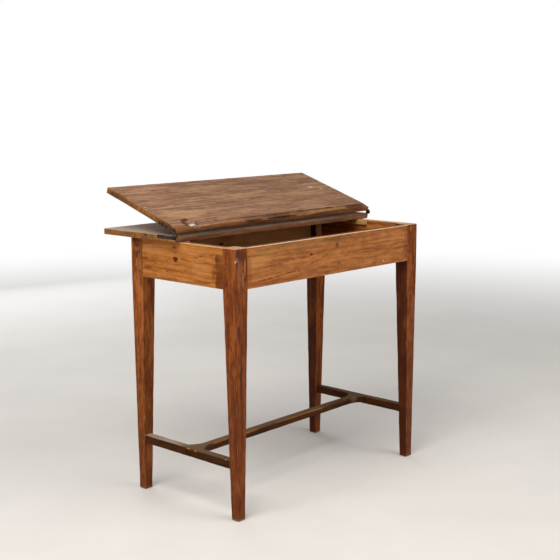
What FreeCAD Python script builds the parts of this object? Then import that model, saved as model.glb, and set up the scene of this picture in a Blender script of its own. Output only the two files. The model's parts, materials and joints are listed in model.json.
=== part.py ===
import FreeCAD
import Part
import math
import os

# Lengths are in millimetres. X runs along the table, Y from front to back and Z up.
# The model is built about the middle of the leg frame and moved once at the end, so that
# the origin lies on the floor under the middle of the whole table as it stands.

# Leg frame
frame_length = 760.0
frame_depth = 400.0
frame_height = 712.0
leg_top_size = 45.0
leg_foot_size = 25.4
leg_end_taper = 6.9
leg_front_taper = 3.8
leg_arris = 1.6
foot_bevel = 2.0
foot_bevel_height = 3.0

# Aprons and their tenons
apron_height = 107.0
apron_thickness = 20.0
apron_setback = 1.0
apron_arris = 1.0
apron_tenon_thickness = 8.0
apron_tenon_gap = 6.0
apron_tenon_top_shoulder = 15.0
apron_tenon_bottom_shoulder = 8.0
peg_radius = 3.0
peg_length = 30.0
peg_stand_out = 0.4
front_peg_drops = (26.0, 80.0)
side_peg_drops = (40.0, 92.0)

# Stretchers
stretcher_top = 159.0
side_stretcher_height = 23.0
side_stretcher_width = 23.0
side_stretcher_inset = 0.5
side_tenon_width = 12.0
side_tenon_height = 15.0
side_tenon_length = 16.0
stretcher_arris = 1.5
long_stretcher_height = 20.0
long_stretcher_width = 22.0
long_left_offset = -16.0
long_right_offset = 6.0
flare_width = 62.0
flare_length = 45.0
long_tenon_width = 26.0
long_tenon_height = 10.0

# Compartment floor
ledger_size = 15.0
floor_board_thickness = 12.0
floor_board_count = 3
floor_gap = 1.0
floor_nail_radius = 1.2
floor_nail_head_radius = 2.6
floor_nail_head_height = 0.8
floor_nail_length = 24.0
floor_nail_inset = 22.0
ledger_nail_count = 3
ledger_nail_inset = 40.0

# Cleats that carry the rear leaf
cleat_width = 10.0
cleat_height = 14.0
left_cleat_front = -1.0
right_cleat_front = -27.0
cleat_screw_radius = 1.7
cleat_screw_head_radius = 3.4
cleat_screw_head_depth = 2.2
cleat_side_screw_length = 22.0
cleat_up_screw_length = 25.0
cleat_screw_end_inset = 30.0
cleat_screw_spread = 22.0

# Leaves of the top
end_overhang = 18.0
rear_overhang = 93.8
rear_leaf_thickness = 16.6
front_leaf_rest_clearance = 0.4
leaf_edge_radius = 2.0
rest_angle_degrees = 18.2
wane_width = 24.0
wane_drop = 3.6
wane_start = 90.0
knot_hollow_place = 72.0
knot_hollow_inset = 29.0
knot_hollow_radius = 28.0
knot_hollow_depth = 6.0

# Hinges: the pin axis lies just in front of the leaves' hinged edges and above the rear leaf
pin_forward = 0.8
pin_rise = 3.2
hinge_plate_length = 70.0
hinge_plate_height = 9.6
hinge_plate_thickness = 3.0
knuckle_radius = 6.0
knuckle_clearance = 0.6
knuckle_side_gap = 0.2
joggle_length = 8.0
hinge_pin_radius = 2.5
hinge_pin_running_gap = 0.05
hinge_pin_seat_gap = 0.02
hinge_pin_head_radius = 4.4
hinge_pin_head_height = 1.5
hinge_screw_radius = 1.5
hinge_screw_head_radius = 3.0
hinge_screw_head_depth = 1.9
hinge_screw_length = 20.0
hinge_screw_places = (22.0, 41.0, 59.0)

# One overrun serves every cut that runs past a face
overrun = 5.0

V = FreeCAD.Vector
ALONG_X = V(1, 0, 0)
ALONG_Y = V(0, 1, 0)
UP = V(0, 0, 1)
parts = {}

# Places worked out from the sizes above
half_length = frame_length / 2
half_depth = frame_depth / 2
apron_bottom = frame_height - apron_height
front_leaf_thickness = rear_leaf_thickness - front_leaf_rest_clearance
rear_leaf_top = frame_height + rear_leaf_thickness
pin_height = rear_leaf_top + pin_rise
leaf_length = frame_length + 2 * end_overhang
leaf_depth = half_depth + rear_overhang - pin_forward
leaf_end = leaf_length / 2
apron_inner_x = half_length - apron_setback - apron_thickness
apron_inner_y = half_depth - apron_setback - apron_thickness
leg_inner_x = half_length - leg_top_size
leg_inner_y = half_depth - leg_top_size
rear_edge_y = pin_forward + leaf_depth
origin_y = (rear_edge_y - half_depth) / 2


def block(x0, x1, y0, y1, z0, z1):
    low = V(min(x0, x1), min(y0, y1), min(z0, z1))
    return Part.makeBox(abs(x1 - x0), abs(y1 - y0), abs(z1 - z0), low)


def rod(radius, length, start, direction):
    return Part.makeCylinder(radius, length, start, direction)


def fuse(shapes):
    whole = shapes[0]
    for shape in shapes[1:]:
        whole = whole.fuse(shape)
    return whole.removeSplitter()


def cut(shape, tools):
    for tool in tools:
        shape = shape.cut(tool)
    return shape


def rounded(shape, radius, keep):
    edges = [edge for edge in shape.Edges if keep(edge)]
    return shape.makeFillet(radius, edges)


def runs_along(edge, direction):
    first = edge.Vertexes[0].Point
    last = edge.Vertexes[-1].Point
    span = last.sub(first)
    return span.Length > 0 and abs(span.dot(direction)) > 0.98 * span.Length


# Legs

def leg_taper(height):
    """Share of the taper that a leg has at a height: none at the aprons, all at the floor."""
    return max(0.0, (apron_bottom - height) / apron_bottom)


def leg_outer_inset(height, taper):
    return taper * leg_taper(height)


def leg_size(height):
    return leg_top_size - (leg_top_size - leg_foot_size) * leg_taper(height)


def leg_inner_inset(height, taper):
    return leg_outer_inset(height, taper) + leg_size(height)


def outline_points(x_side, y_side, height, shrink):
    """Square outline of a leg at a height, with its four corners taken off."""
    faces = []
    for side, half, taper in ((x_side, half_length, leg_end_taper), (y_side, half_depth, leg_front_taper)):
        outer = half - leg_outer_inset(height, taper) - shrink
        inner = half - leg_inner_inset(height, taper) + shrink
        faces += sorted((side * outer, side * inner))
    x0, x1, y0, y1 = faces
    r = leg_arris
    flat = [(x0 + r, y0), (x1 - r, y0), (x1, y0 + r), (x1, y1 - r),
            (x1 - r, y1), (x0 + r, y1), (x0, y1 - r), (x0, y0 + r)]
    return [V(x, y, height) for x, y in flat]


def flat_sided(low, high):
    """Solid with flat faces between two outlines of as many corners."""
    faces = [Part.Face(Part.makePolygon(low + low[:1])), Part.Face(Part.makePolygon(high + high[:1]))]
    for index in range(len(low)):
        after = (index + 1) % len(low)
        side = [low[index], low[after], high[after], high[index], low[index]]
        faces.append(Part.Face(Part.makePolygon(side)))
    return Part.Solid(Part.Shell(faces))


def leg_blank(x_side, y_side):
    loops = [
        outline_points(x_side, y_side, 0, foot_bevel),
        outline_points(x_side, y_side, foot_bevel_height, 0),
        outline_points(x_side, y_side, apron_bottom, 0),
        outline_points(x_side, y_side, frame_height, 0),
    ]
    return fuse([flat_sided(low, high) for low, high in zip(loops[:-1], loops[1:])])


corners = {
    "leg_front_left": (-1, -1),
    "leg_front_right": (1, -1),
    "leg_back_left": (-1, 1),
    "leg_back_right": (1, 1),
}
leg_blanks = {name: leg_blank(*side) for name, side in corners.items()}

# Aprons: each runs between two legs and has a tenon at both ends

tenon_low = apron_bottom + apron_tenon_bottom_shoulder
tenon_high = frame_height - apron_tenon_top_shoulder
tenon_near = apron_setback + (apron_thickness - apron_tenon_thickness) / 2
tenon_far = tenon_near + apron_tenon_thickness
# The two tenons that meet in a leg stop short of each other
tenon_end = tenon_far + apron_tenon_gap


def long_apron(y_side):
    board = block(-leg_inner_x, leg_inner_x, y_side * (half_depth - apron_setback), y_side * apron_inner_y,
                  apron_bottom, frame_height)
    board = rounded(board, apron_arris, lambda edge: runs_along(edge, ALONG_X))
    reach = half_length - tenon_end
    tenon = block(-reach, reach, y_side * (half_depth - tenon_near), y_side * (half_depth - tenon_far),
                  tenon_low, tenon_high)
    return board.fuse(tenon).removeSplitter()


def short_apron(x_side):
    board = block(x_side * (half_length - apron_setback), x_side * apron_inner_x, -leg_inner_y, leg_inner_y,
                  apron_bottom, frame_height)
    board = rounded(board, apron_arris, lambda edge: runs_along(edge, ALONG_Y))
    reach = half_depth - tenon_end
    tenon = block(x_side * (half_length - tenon_near), x_side * (half_length - tenon_far), -reach, reach,
                  tenon_low, tenon_high)
    return board.fuse(tenon).removeSplitter()


aprons = {
    "apron_front": long_apron(-1),
    "apron_back": long_apron(1),
    "apron_left": short_apron(-1),
    "apron_right": short_apron(1),
}

# Draw pegs lock every apron tenon in its leg

peg_inset = (leg_top_size + tenon_end) / 2
pegs = []
for x_side, y_side in corners.values():
    for drop in front_peg_drops:
        start = V(x_side * (half_length - peg_inset), y_side * (half_depth + peg_stand_out), frame_height - drop)
        pegs.append(rod(peg_radius, peg_length, start, V(0, -y_side, 0)))
    for drop in side_peg_drops:
        start = V(x_side * (half_length + peg_stand_out), y_side * (half_depth - peg_inset), frame_height - drop)
        pegs.append(rod(peg_radius, peg_length, start, V(-x_side, 0, 0)))
parts["apron_pegs"] = Part.makeCompound(pegs)

# Side stretchers: tenoned into the legs, nearly flush with the legs' outer faces

side_low = stretcher_top - side_stretcher_height
side_outer_x = half_length - leg_outer_inset(side_low, leg_end_taper) - side_stretcher_inset
side_inner_x = side_outer_x - side_stretcher_width
side_middle_x = (side_outer_x + side_inner_x) / 2
side_middle_z = stretcher_top - side_stretcher_height / 2
leg_face_y = half_depth - leg_inner_inset(side_middle_z, leg_front_taper)


def side_tenon(x_side):
    reach = leg_face_y + side_tenon_length
    middle = x_side * side_middle_x
    return block(middle - side_tenon_width / 2, middle + side_tenon_width / 2, -reach, reach,
                 side_middle_z - side_tenon_height / 2, side_middle_z + side_tenon_height / 2)


def side_stretcher(x_side):
    reach = leg_face_y + side_tenon_length / 2
    bar = block(x_side * side_outer_x, x_side * side_inner_x, -reach, reach, side_low, stretcher_top)
    bar = rounded(bar, stretcher_arris, lambda edge: runs_along(edge, ALONG_Y))
    bar = cut(bar, [leg_blanks[name] for name, side in corners.items() if side[0] == x_side])
    return fuse([bar, side_tenon(x_side)])


# Long stretcher: a slim bar that widens in concave arcs at both ends, set a little askew

span = 2 * side_inner_x
skew = math.atan2(long_right_offset - long_left_offset, span)
long_middle_y = (long_left_offset + long_right_offset) / 2
long_low = stretcher_top - long_stretcher_height
flare_rise = (flare_width - long_stretcher_width) / 2
flare_radius = (flare_length ** 2 + flare_rise ** 2) / (2 * flare_rise)


def flare_arc(x_side, y_side):
    """Arc from the wide end to the bar, tangent to the bar."""
    end_x = span / 2
    bar_y = long_stretcher_width / 2
    turn = math.asin(flare_length / flare_radius) / 2
    wide = V(x_side * end_x, y_side * (bar_y + flare_rise), long_low)
    middle = V(x_side * (end_x - flare_length + flare_radius * math.sin(turn)),
               y_side * (bar_y + flare_radius * (1 - math.cos(turn))), long_low)
    slim = V(x_side * (end_x - flare_length), y_side * bar_y, long_low)
    return wide, middle, slim


def long_stretcher():
    end_x = span / 2 + overrun
    edges = []
    rows = {}
    for y_side in (-1, 1):
        for x_side in (-1, 1):
            wide, middle, slim = flare_arc(x_side, y_side)
            edges.append(Part.Arc(wide, middle, slim).toShape())
            far = V(x_side * end_x, wide.y, long_low)
            edges.append(Part.makeLine(far, wide))
            rows[x_side, y_side] = (far, slim)
        edges.append(Part.makeLine(rows[-1, y_side][1], rows[1, y_side][1]))
    for x_side in (-1, 1):
        edges.append(Part.makeLine(rows[x_side, -1][0], rows[x_side, 1][0]))
    outline = Part.Wire(Part.__sortEdges__(edges))
    bar = Part.Face(outline).extrude(V(0, 0, long_stretcher_height))
    bar = rounded(bar, stretcher_arris, lambda edge: runs_along(edge, ALONG_X) and edge.Length > span / 2)
    bar.rotate(V(0, 0, 0), UP, math.degrees(skew))
    bar.translate(V(0, long_middle_y, 0))
    wide = flare_width + overrun + abs(long_left_offset) + abs(long_right_offset)
    ends = [block(x_side * side_inner_x, x_side * (side_inner_x + 2 * overrun), -wide, wide,
                  long_low - overrun, stretcher_top + overrun) for x_side in (-1, 1)]
    return fuse([cut(bar, ends), long_tenon(-1), long_tenon(1)])


def long_tenon(x_side):
    """Through tenon; it ends flush with the side stretcher's outer face."""
    middle_y = long_left_offset if x_side < 0 else long_right_offset
    middle_z = stretcher_top - long_stretcher_height / 2
    root = side_inner_x - flare_length / 2
    return block(x_side * root, x_side * side_outer_x,
                 middle_y - long_tenon_width / 2, middle_y + long_tenon_width / 2,
                 middle_z - long_tenon_height / 2, middle_z + long_tenon_height / 2)


parts["stretcher_left"] = side_stretcher(-1).cut(long_tenon(-1))
parts["stretcher_right"] = side_stretcher(1).cut(long_tenon(1))
parts["stretcher_long"] = long_stretcher()

# Legs, cut for the apron tenons, the stretcher tenons and the pegs

for name, side in corners.items():
    tools = [aprons["apron_front" if side[1] < 0 else "apron_back"]]
    tools.append(aprons["apron_left" if side[0] < 0 else "apron_right"])
    tools.append(side_tenon(side[0]))
    parts[name] = cut(leg_blanks[name], tools + pegs)
for name, shape in aprons.items():
    aprons[name] = cut(shape, pegs)

# Compartment floor: boards on two ledgers, held by nails

floor_low = apron_bottom + ledger_size
floor_high = floor_low + floor_board_thickness
ledgers = {
    "floor_ledger_left": -1,
    "floor_ledger_right": 1,
}
for name, x_side in ledgers.items():
    parts[name] = block(x_side * apron_inner_x, x_side * (apron_inner_x - ledger_size), -leg_inner_y, leg_inner_y,
                        apron_bottom, floor_low)
board_width = (2 * apron_inner_y - (floor_board_count + 1) * floor_gap) / floor_board_count


def board_front(index):
    return -apron_inner_y + floor_gap + index * (board_width + floor_gap)


def nail(head, direction):
    shank = rod(floor_nail_radius, floor_nail_length, head, direction)
    cap = rod(floor_nail_head_radius, floor_nail_head_height, head, direction)
    return fuse([shank, cap])


nails = []
nail_x = apron_inner_x - ledger_size / 2
for x_side in (-1, 1):
    for index in range(floor_board_count):
        for y in (board_front(index) + floor_nail_inset, board_front(index) + board_width - floor_nail_inset):
            place = max(-leg_inner_y + floor_nail_inset / 2, min(leg_inner_y - floor_nail_inset / 2, y))
            nails.append(nail(V(x_side * nail_x, place, floor_high), V(0, 0, -1)))
    for index in range(ledger_nail_count):
        step = 2 * (leg_inner_y - ledger_nail_inset) / (ledger_nail_count - 1)
        place = -leg_inner_y + ledger_nail_inset + index * step
        head = V(x_side * (apron_inner_x - ledger_size), place, apron_bottom + ledger_size / 3)
        nails.append(nail(head, V(x_side, 0, 0)))
parts["floor_nails"] = Part.makeCompound(nails)
for index in range(floor_board_count):
    end = apron_inner_x - floor_gap
    board = block(-end, end, board_front(index), board_front(index) + board_width, floor_low, floor_high)
    for x_side, y_side in corners.values():
        corner = block(x_side * (leg_inner_x - floor_gap), x_side * half_length,
                       y_side * (leg_inner_y - floor_gap), y_side * half_depth, floor_low, floor_high)
        board = board.cut(corner)
    parts["floor_board_%d" % (index + 1)] = cut(board, nails)
for name in ledgers:
    parts[name] = cut(parts[name], nails)
for name in ("apron_left", "apron_right"):
    aprons[name] = cut(aprons[name], nails)

# Cleats under the rear leaf, screwed sideways to the aprons and upwards into the leaf


def wood_screw(head, direction, length, radius, head_radius, head_depth):
    cone = Part.makeCone(head_radius, radius, head_depth, head, direction)
    shank = rod(radius, length - 2 * radius, head, direction)
    tip_start = head + direction * (length - 2 * radius)
    tip = Part.makeCone(radius, radius / 4, 2 * radius, tip_start, direction)
    return fuse([cone, shank, tip])


cleats = {
    "cleat_left": (-1, left_cleat_front),
    "cleat_right": (1, right_cleat_front),
}
cleat_screws = []
for name, (x_side, front) in cleats.items():
    inner = apron_inner_x - cleat_width
    parts[name] = block(x_side * apron_inner_x, x_side * inner, front, leg_inner_y,
                        frame_height - cleat_height, frame_height)
    for y in (pin_forward + cleat_screw_end_inset, leg_inner_y - cleat_screw_end_inset):
        side_head = V(x_side * inner, y, frame_height - cleat_height / 2)
        cleat_screws.append(wood_screw(side_head, V(x_side, 0, 0), cleat_side_screw_length,
                                       cleat_screw_radius, cleat_screw_head_radius, cleat_screw_head_depth))
        toward = cleat_screw_spread if y < leg_inner_y / 2 else -cleat_screw_spread
        up_head = V(x_side * (inner + cleat_width / 2), y + toward, frame_height - cleat_height)
        cleat_screws.append(wood_screw(up_head, UP, cleat_up_screw_length,
                                       cleat_screw_radius, cleat_screw_head_radius, cleat_screw_head_depth))
for name in cleats:
    parts[name] = cut(parts[name], cleat_screws)
for name in ("apron_left", "apron_right"):
    aprons[name] = cut(aprons[name], cleat_screws)
parts["cleat_screws"] = Part.makeCompound(cleat_screws)
parts.update(aprons)

# Hinges. They are drawn about the pin axis: Y runs back from the pin, Z up from it.
# The rear leaf's plate lies below the axis. The front leaf's lies above, and turns with the leaf.

layer_in = leaf_end - hinge_plate_thickness
outer_start = leaf_end + knuckle_side_gap
outer_end = outer_start + hinge_plate_thickness
plate_near = knuckle_radius + knuckle_clearance
joggle_end = plate_near + joggle_length


def eye(x_side, x0, x1, bore):
    start = V(min(x_side * x0, x_side * x1), 0, 0)
    ring = rod(knuckle_radius, abs(x1 - x0), start, ALONG_X)
    hole_start = V(start.x - overrun, 0, 0)
    return ring, rod(bore, abs(x1 - x0) + 2 * overrun, hole_start, ALONG_X)


def plate_screw(x_side, y, z):
    return wood_screw(V(x_side * leaf_end, y, z), V(-x_side, 0, 0), hinge_screw_length,
                      hinge_screw_radius, hinge_screw_head_radius, hinge_screw_head_depth)


def rear_plate(x_side):
    plate = block(x_side * layer_in, x_side * leaf_end, pin_forward, hinge_plate_length,
                  -pin_rise - hinge_plate_height, -pin_rise)
    ring, hole = eye(x_side, layer_in, leaf_end, hinge_pin_radius + hinge_pin_seat_gap)
    return fuse([plate, ring]), hole


def front_plate(x_side):
    plate = block(x_side * layer_in, x_side * leaf_end, plate_near, hinge_plate_length,
                  pin_rise, pin_rise + hinge_plate_height)
    joggle = block(x_side * layer_in, x_side * outer_end, plate_near, joggle_end,
                   pin_rise, pin_rise + hinge_plate_height)
    arm = block(x_side * outer_start, x_side * outer_end, 0, joggle_end,
                0, pin_rise + hinge_plate_height / 2)
    ring, hole = eye(x_side, outer_start, outer_end, hinge_pin_radius + hinge_pin_running_gap)
    return plate, fuse([plate, joggle, arm, ring]), hole


def hinge_pin(x_side):
    start = V(x_side * layer_in, 0, 0)
    out = V(x_side, 0, 0)
    head_at = outer_end + knuckle_side_gap
    shank = rod(hinge_pin_radius, head_at - layer_in, start, out)
    head = Part.makeCone(hinge_pin_head_radius, hinge_pin_radius, hinge_pin_head_height,
                         V(x_side * head_at, 0, 0), out)
    return fuse([shank, head])


rear_screws = []
front_screws = []
front_tools = []
rear_tools = []
hinge_shapes = {}
for side_name, x_side in (("left", -1), ("right", 1)):
    screw_z = pin_rise + hinge_plate_height / 2
    lower_screws = [plate_screw(x_side, y, -screw_z) for y in hinge_screw_places]
    upper_screws = [plate_screw(x_side, y, screw_z) for y in hinge_screw_places]
    rear_solid, rear_hole = rear_plate(x_side)
    front_flat, front_solid, front_hole = front_plate(x_side)
    hinge_shapes["hinge_rear_plate_" + side_name] = cut(rear_solid, [rear_hole] + lower_screws)
    hinge_shapes["hinge_front_plate_" + side_name] = cut(front_solid, [front_hole] + upper_screws)
    hinge_shapes["hinge_pin_" + side_name] = hinge_pin(x_side)
    relief_start = V(x_side * (layer_in - knuckle_side_gap), 0, 0)
    relief = rod(knuckle_radius + knuckle_clearance, hinge_plate_thickness + overrun, relief_start, V(x_side, 0, 0))
    rear_tools += [rear_solid] + lower_screws
    front_tools += [front_flat, relief] + upper_screws
    rear_screws += lower_screws
    front_screws += upper_screws
hinge_shapes["hinge_screws_rear"] = Part.makeCompound(rear_screws)
hinge_shapes["hinge_screws_front"] = Part.makeCompound(front_screws)

# Leaves, drawn about the pin axis too


def leaf_blank(low, high):
    board = block(-leaf_end, leaf_end, pin_forward, rear_edge_y, low, high)
    return rounded(board, leaf_edge_radius, lambda edge: True)


rear_leaf = leaf_blank(-pin_rise - rear_leaf_thickness, -pin_rise)
front_leaf = leaf_blank(pin_rise, pin_rise + front_leaf_thickness)

# The front leaf's upper hinged edge is worn away to a shallow wane, from a knot to the right end
wane_top = pin_rise + front_leaf_thickness
wane_outline = Part.makePolygon([
    V(-leaf_end + wane_start, pin_forward - overrun, wane_top - wane_drop * (1 + overrun / wane_width)),
    V(-leaf_end + wane_start, pin_forward + wane_width, wane_top),
    V(-leaf_end + wane_start, pin_forward + wane_width, wane_top + overrun),
    V(-leaf_end + wane_start, pin_forward - overrun, wane_top + overrun),
    V(-leaf_end + wane_start, pin_forward - overrun, wane_top - wane_drop * (1 + overrun / wane_width)),
])
wane = Part.Face(wane_outline).extrude(V(leaf_length - wane_start + overrun, 0, 0))

# A knot has fallen out beside the start of the wane and left a shallow round hollow
hollow_sphere = (knot_hollow_radius ** 2 + knot_hollow_depth ** 2) / (2 * knot_hollow_depth)
hollow_middle = V(-leaf_end + knot_hollow_place, pin_forward + knot_hollow_inset,
                  wane_top - knot_hollow_depth + hollow_sphere)
hollow = Part.makeSphere(hollow_sphere, hollow_middle)
front_leaf = cut(front_leaf, [wane, hollow] + front_tools)
rear_leaf = cut(rear_leaf, rear_tools)

turning = {"front_leaf": front_leaf, "hinge_screws_front": hinge_shapes.pop("hinge_screws_front")}
for side_name in ("left", "right"):
    name = "hinge_front_plate_" + side_name
    turning[name] = hinge_shapes.pop(name)
standing = {"rear_leaf": rear_leaf}
standing.update(hinge_shapes)
for name, shape in turning.items():
    shape.rotate(V(0, 0, 0), ALONG_X, rest_angle_degrees)
for name, shape in list(turning.items()) + list(standing.items()):
    shape.translate(V(0, 0, pin_height))
    parts[name] = shape
parts["rear_leaf"] = cut(parts["rear_leaf"], cleat_screws)

# Move to the origin under the middle of the table and write one file for each node

os.makedirs("parts", exist_ok=True)
for name in sorted(parts):
    shape = parts[name].copy()
    shape.translate(V(0, -origin_y, 0))
    solids = shape.Solids
    if len(solids) == 1:
        shape = solids[0]
    shape.exportStep("parts/%s.step" % name)
    box = shape.BoundBox
    print("%-26s solids %2d volume %10.1f  x %8.2f %8.2f  y %8.2f %8.2f  z %8.2f %8.2f valid %s" % (
        name, len(solids), shape.Volume, box.XMin, box.XMax, box.YMin, box.YMax, box.ZMin, box.ZMax, shape.isValid()))
print("pin axis y %.3f z %.3f" % (-origin_y, pin_height))
print("front leaf's underside stands off the rear leaf by %.2f when they lie parallel" % (2 * pin_rise))
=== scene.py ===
import json
import math
from functools import partial

import bpy
from bpy.props import FloatProperty, FloatVectorProperty, PointerProperty
from mathutils import Matrix, Vector, noise


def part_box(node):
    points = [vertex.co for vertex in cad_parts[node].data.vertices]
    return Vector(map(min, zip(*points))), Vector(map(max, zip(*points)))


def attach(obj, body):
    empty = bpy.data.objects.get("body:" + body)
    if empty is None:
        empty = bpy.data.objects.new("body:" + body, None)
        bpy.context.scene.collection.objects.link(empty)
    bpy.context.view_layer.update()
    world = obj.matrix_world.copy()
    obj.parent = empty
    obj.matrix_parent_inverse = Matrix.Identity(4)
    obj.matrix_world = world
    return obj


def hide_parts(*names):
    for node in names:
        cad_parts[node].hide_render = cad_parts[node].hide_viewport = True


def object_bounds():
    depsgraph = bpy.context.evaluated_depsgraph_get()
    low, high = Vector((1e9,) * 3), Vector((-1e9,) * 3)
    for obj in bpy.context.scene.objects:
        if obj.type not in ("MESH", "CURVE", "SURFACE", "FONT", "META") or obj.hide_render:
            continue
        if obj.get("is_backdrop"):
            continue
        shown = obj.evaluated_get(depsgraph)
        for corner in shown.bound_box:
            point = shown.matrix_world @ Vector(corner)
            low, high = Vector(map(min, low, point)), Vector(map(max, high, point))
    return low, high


bl_info = {
    "name": "Fold-over Writing Table",
    "version": (1, 0, 0),
    "blender": (4, 5, 0),
    "location": "3D Viewport > Sidebar > Writing Table",
    "description": "Dresses the writing table with worn boards, old iron and a pale studio",
    "category": "Object",
}

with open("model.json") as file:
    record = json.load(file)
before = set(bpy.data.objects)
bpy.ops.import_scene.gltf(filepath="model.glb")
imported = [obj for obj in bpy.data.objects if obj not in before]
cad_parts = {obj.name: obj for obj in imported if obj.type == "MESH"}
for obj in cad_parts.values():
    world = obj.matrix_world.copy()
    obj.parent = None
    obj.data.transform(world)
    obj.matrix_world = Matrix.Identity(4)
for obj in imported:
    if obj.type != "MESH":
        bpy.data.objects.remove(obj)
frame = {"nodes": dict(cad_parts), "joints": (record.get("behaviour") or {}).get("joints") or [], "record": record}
cad_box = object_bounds()

MM = 0.001


def paint(red, green, blue):
    """Linear colour of a screen colour given from 0 to 255."""
    values = []
    for part in (red, green, blue):
        share = part / 255
        values.append(share / 12.92 if share <= 0.04045 else ((share + 0.055) / 1.055) ** 2.4)
    return tuple(values)


def colour_setting(name, description, red, green, blue):
    return FloatVectorProperty(name=name, description=description, subtype="COLOR", size=3, min=0.0, max=1.0,
                               default=paint(red, green, blue))


def length_setting(name, description, millimetres):
    return FloatProperty(name=name, description=description, default=millimetres * MM, min=0.0,
                         unit="LENGTH", subtype="DISTANCE")


def share_setting(name, description, default):
    return FloatProperty(name=name, description=description, default=default, min=0.0, max=1.0,
                         subtype="FACTOR")


def angle_setting(name, description, degrees):
    return FloatProperty(name=name, description=description, default=math.radians(degrees), unit="ROTATION")


def power_setting(name, place, watts):
    return FloatProperty(name=name, description="Power of the lamp " + place, default=watts, min=0.0,
                         unit="POWER")


class FrameWoodSettings(bpy.types.PropertyGroup):
    """Orange-brown wood of the aprons and redder wood of the legs."""
    light: colour_setting("Light", "Early wood of the aprons", 196, 124, 62)
    dark: colour_setting("Dark", "Late wood of the aprons", 146, 80, 32)
    leg_light: colour_setting("Leg light", "Early wood of the legs", 158, 86, 36)
    leg_dark: colour_setting("Leg dark", "Late wood of the legs", 100, 44, 12)
    streak: colour_setting("Streak", "Dark streaks and knots", 84, 40, 14)
    grime: colour_setting("Grime", "Dull patches", 134, 82, 46)
    worn: colour_setting("Worn", "Pale wood on worn arrises", 200, 158, 118)
    ring: length_setting("Ring spacing", "Distance between two rings of the grain", 9.0)
    waver: length_setting("Waver", "How far the grain wanders sideways", 40.0)
    roughness: share_setting("Roughness", "Roughness of the waxed surface", 0.5)
    arris: length_setting("Arris", "Usual rounding of the frame's arrises", 1.6)


class LeafWoodSettings(bpy.types.PropertyGroup):
    """Greyish brown wood of the two leaves."""
    light: colour_setting("Light", "Tan wood of the front leaf", 162, 124, 94)
    dark: colour_setting("Dark", "Brown wood of the front leaf", 116, 82, 63)
    streak: colour_setting("Streak", "Purplish grey streaks", 98, 72, 62)
    grime: colour_setting("Grime", "Dull patches", 140, 104, 82)
    worn: colour_setting("Worn", "Pale wood on worn arrises", 178, 124, 72)
    edge: colour_setting("End grain", "Yellowish sawn ends", 154, 103, 52)
    dusty: colour_setting("Dust", "Dust on the rear leaf", 158, 136, 118)
    face: colour_setting("Face", "Old varnish on the long edges", 134, 76, 34)
    ring: length_setting("Ring spacing", "Distance between two rings of the grain", 10.0)
    waver: length_setting("Waver", "How far the grain wanders sideways", 60.0)
    roughness: share_setting("Roughness", "Roughness of the dull surface", 0.6)
    arris: length_setting("Arris", "Usual rounding of the leaves' arrises", 2.1)


class StretcherWoodSettings(bpy.types.PropertyGroup):
    """Dark wood of the stretchers, with dust on top and worn arrises."""
    light: colour_setting("Light", "Early wood", 80, 40, 6)
    dark: colour_setting("Dark", "Late wood", 44, 20, 2)
    streak: colour_setting("Streak", "Dark streaks", 26, 12, 2)
    grime: colour_setting("Grime", "Dull patches", 60, 34, 10)
    worn: colour_setting("Worn", "Orange wood on worn arrises", 136, 84, 36)
    dusty: colour_setting("Dust", "Dust on the upper faces", 106, 86, 64)
    ring: length_setting("Ring spacing", "Distance between two rings of the grain", 5.0)
    waver: length_setting("Waver", "How far the grain wanders sideways", 14.0)
    roughness: share_setting("Roughness", "Roughness of the dry surface", 0.62)
    arris: length_setting("Arris", "Usual rounding of the stretchers' arrises", 1.5)


class InnerWoodSettings(bpy.types.PropertyGroup):
    """Rough wood of the compartment's floor, and the pale cleats."""
    light: colour_setting("Light", "Early wood of the floor", 132, 92, 56)
    dark: colour_setting("Dark", "Late wood of the floor", 84, 54, 32)
    streak: colour_setting("Streak", "Dark streaks", 54, 34, 20)
    grime: colour_setting("Grime", "Ink and dirt", 70, 52, 38)
    worn: colour_setting("Worn", "Pale wood on arrises", 160, 120, 80)
    cleat_light: colour_setting("Cleat light", "Pale wood of the cleats", 222, 180, 124)
    cleat_dark: colour_setting("Cleat dark", "Late wood of the cleats", 176, 126, 74)
    ring: length_setting("Ring spacing", "Distance between two rings of the grain", 5.0)
    waver: length_setting("Waver", "How far the grain wanders sideways", 20.0)
    roughness: share_setting("Roughness", "Roughness of the bare surface", 0.7)


class OldIronSettings(bpy.types.PropertyGroup):
    """Rusty forged iron of the hinges, screws and nails."""
    scale: colour_setting("Scale", "Dark forge scale", 48, 34, 28)
    rust: colour_setting("Rust", "Brown rust", 84, 50, 32)
    bare: colour_setting("Bare", "Rubbed metal on arrises and screw heads", 160, 142, 130)
    roughness: share_setting("Roughness", "Roughness of the scale", 0.58)
    slot_width: length_setting("Slot width", "Width of a screw's slot", 0.9)
    slot_depth: length_setting("Slot depth", "Depth of a screw's slot", 0.9)


class StudioSettings(bpy.types.PropertyGroup):
    """Camera, lamps and floor."""
    camera_place: FloatVectorProperty(name="Camera", description="Place of the camera", size=3,
                                      subtype="XYZ", unit="LENGTH", default=(-2.3261, -2.2111, 1.0848))
    heading: angle_setting("Heading", "Turn of the view from +Y towards +X", 47.045)
    pitch: angle_setting("Pitch", "Tilt of the view above the level", -9.257)
    roll: angle_setting("Roll", "Roll of the camera", -0.226)
    focal: FloatProperty(name="Focal length", description="For a sensor 36 mm wide", default=72.42, min=10.0)
    key: power_setting("Key lamp", "at the left", 76.0)
    front: power_setting("Front lamp", "in front", 34.0)
    low: power_setting("Low lamp", "low in front", 15.0)
    back: power_setting("Back lamp", "behind", 26.0)
    ambient: FloatProperty(name="Ambient", description="Strength of the light from all round", default=0.3,
                           min=0.0)
    floor: colour_setting("Floor", "Colour of the floor", 232, 229, 225)


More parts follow.
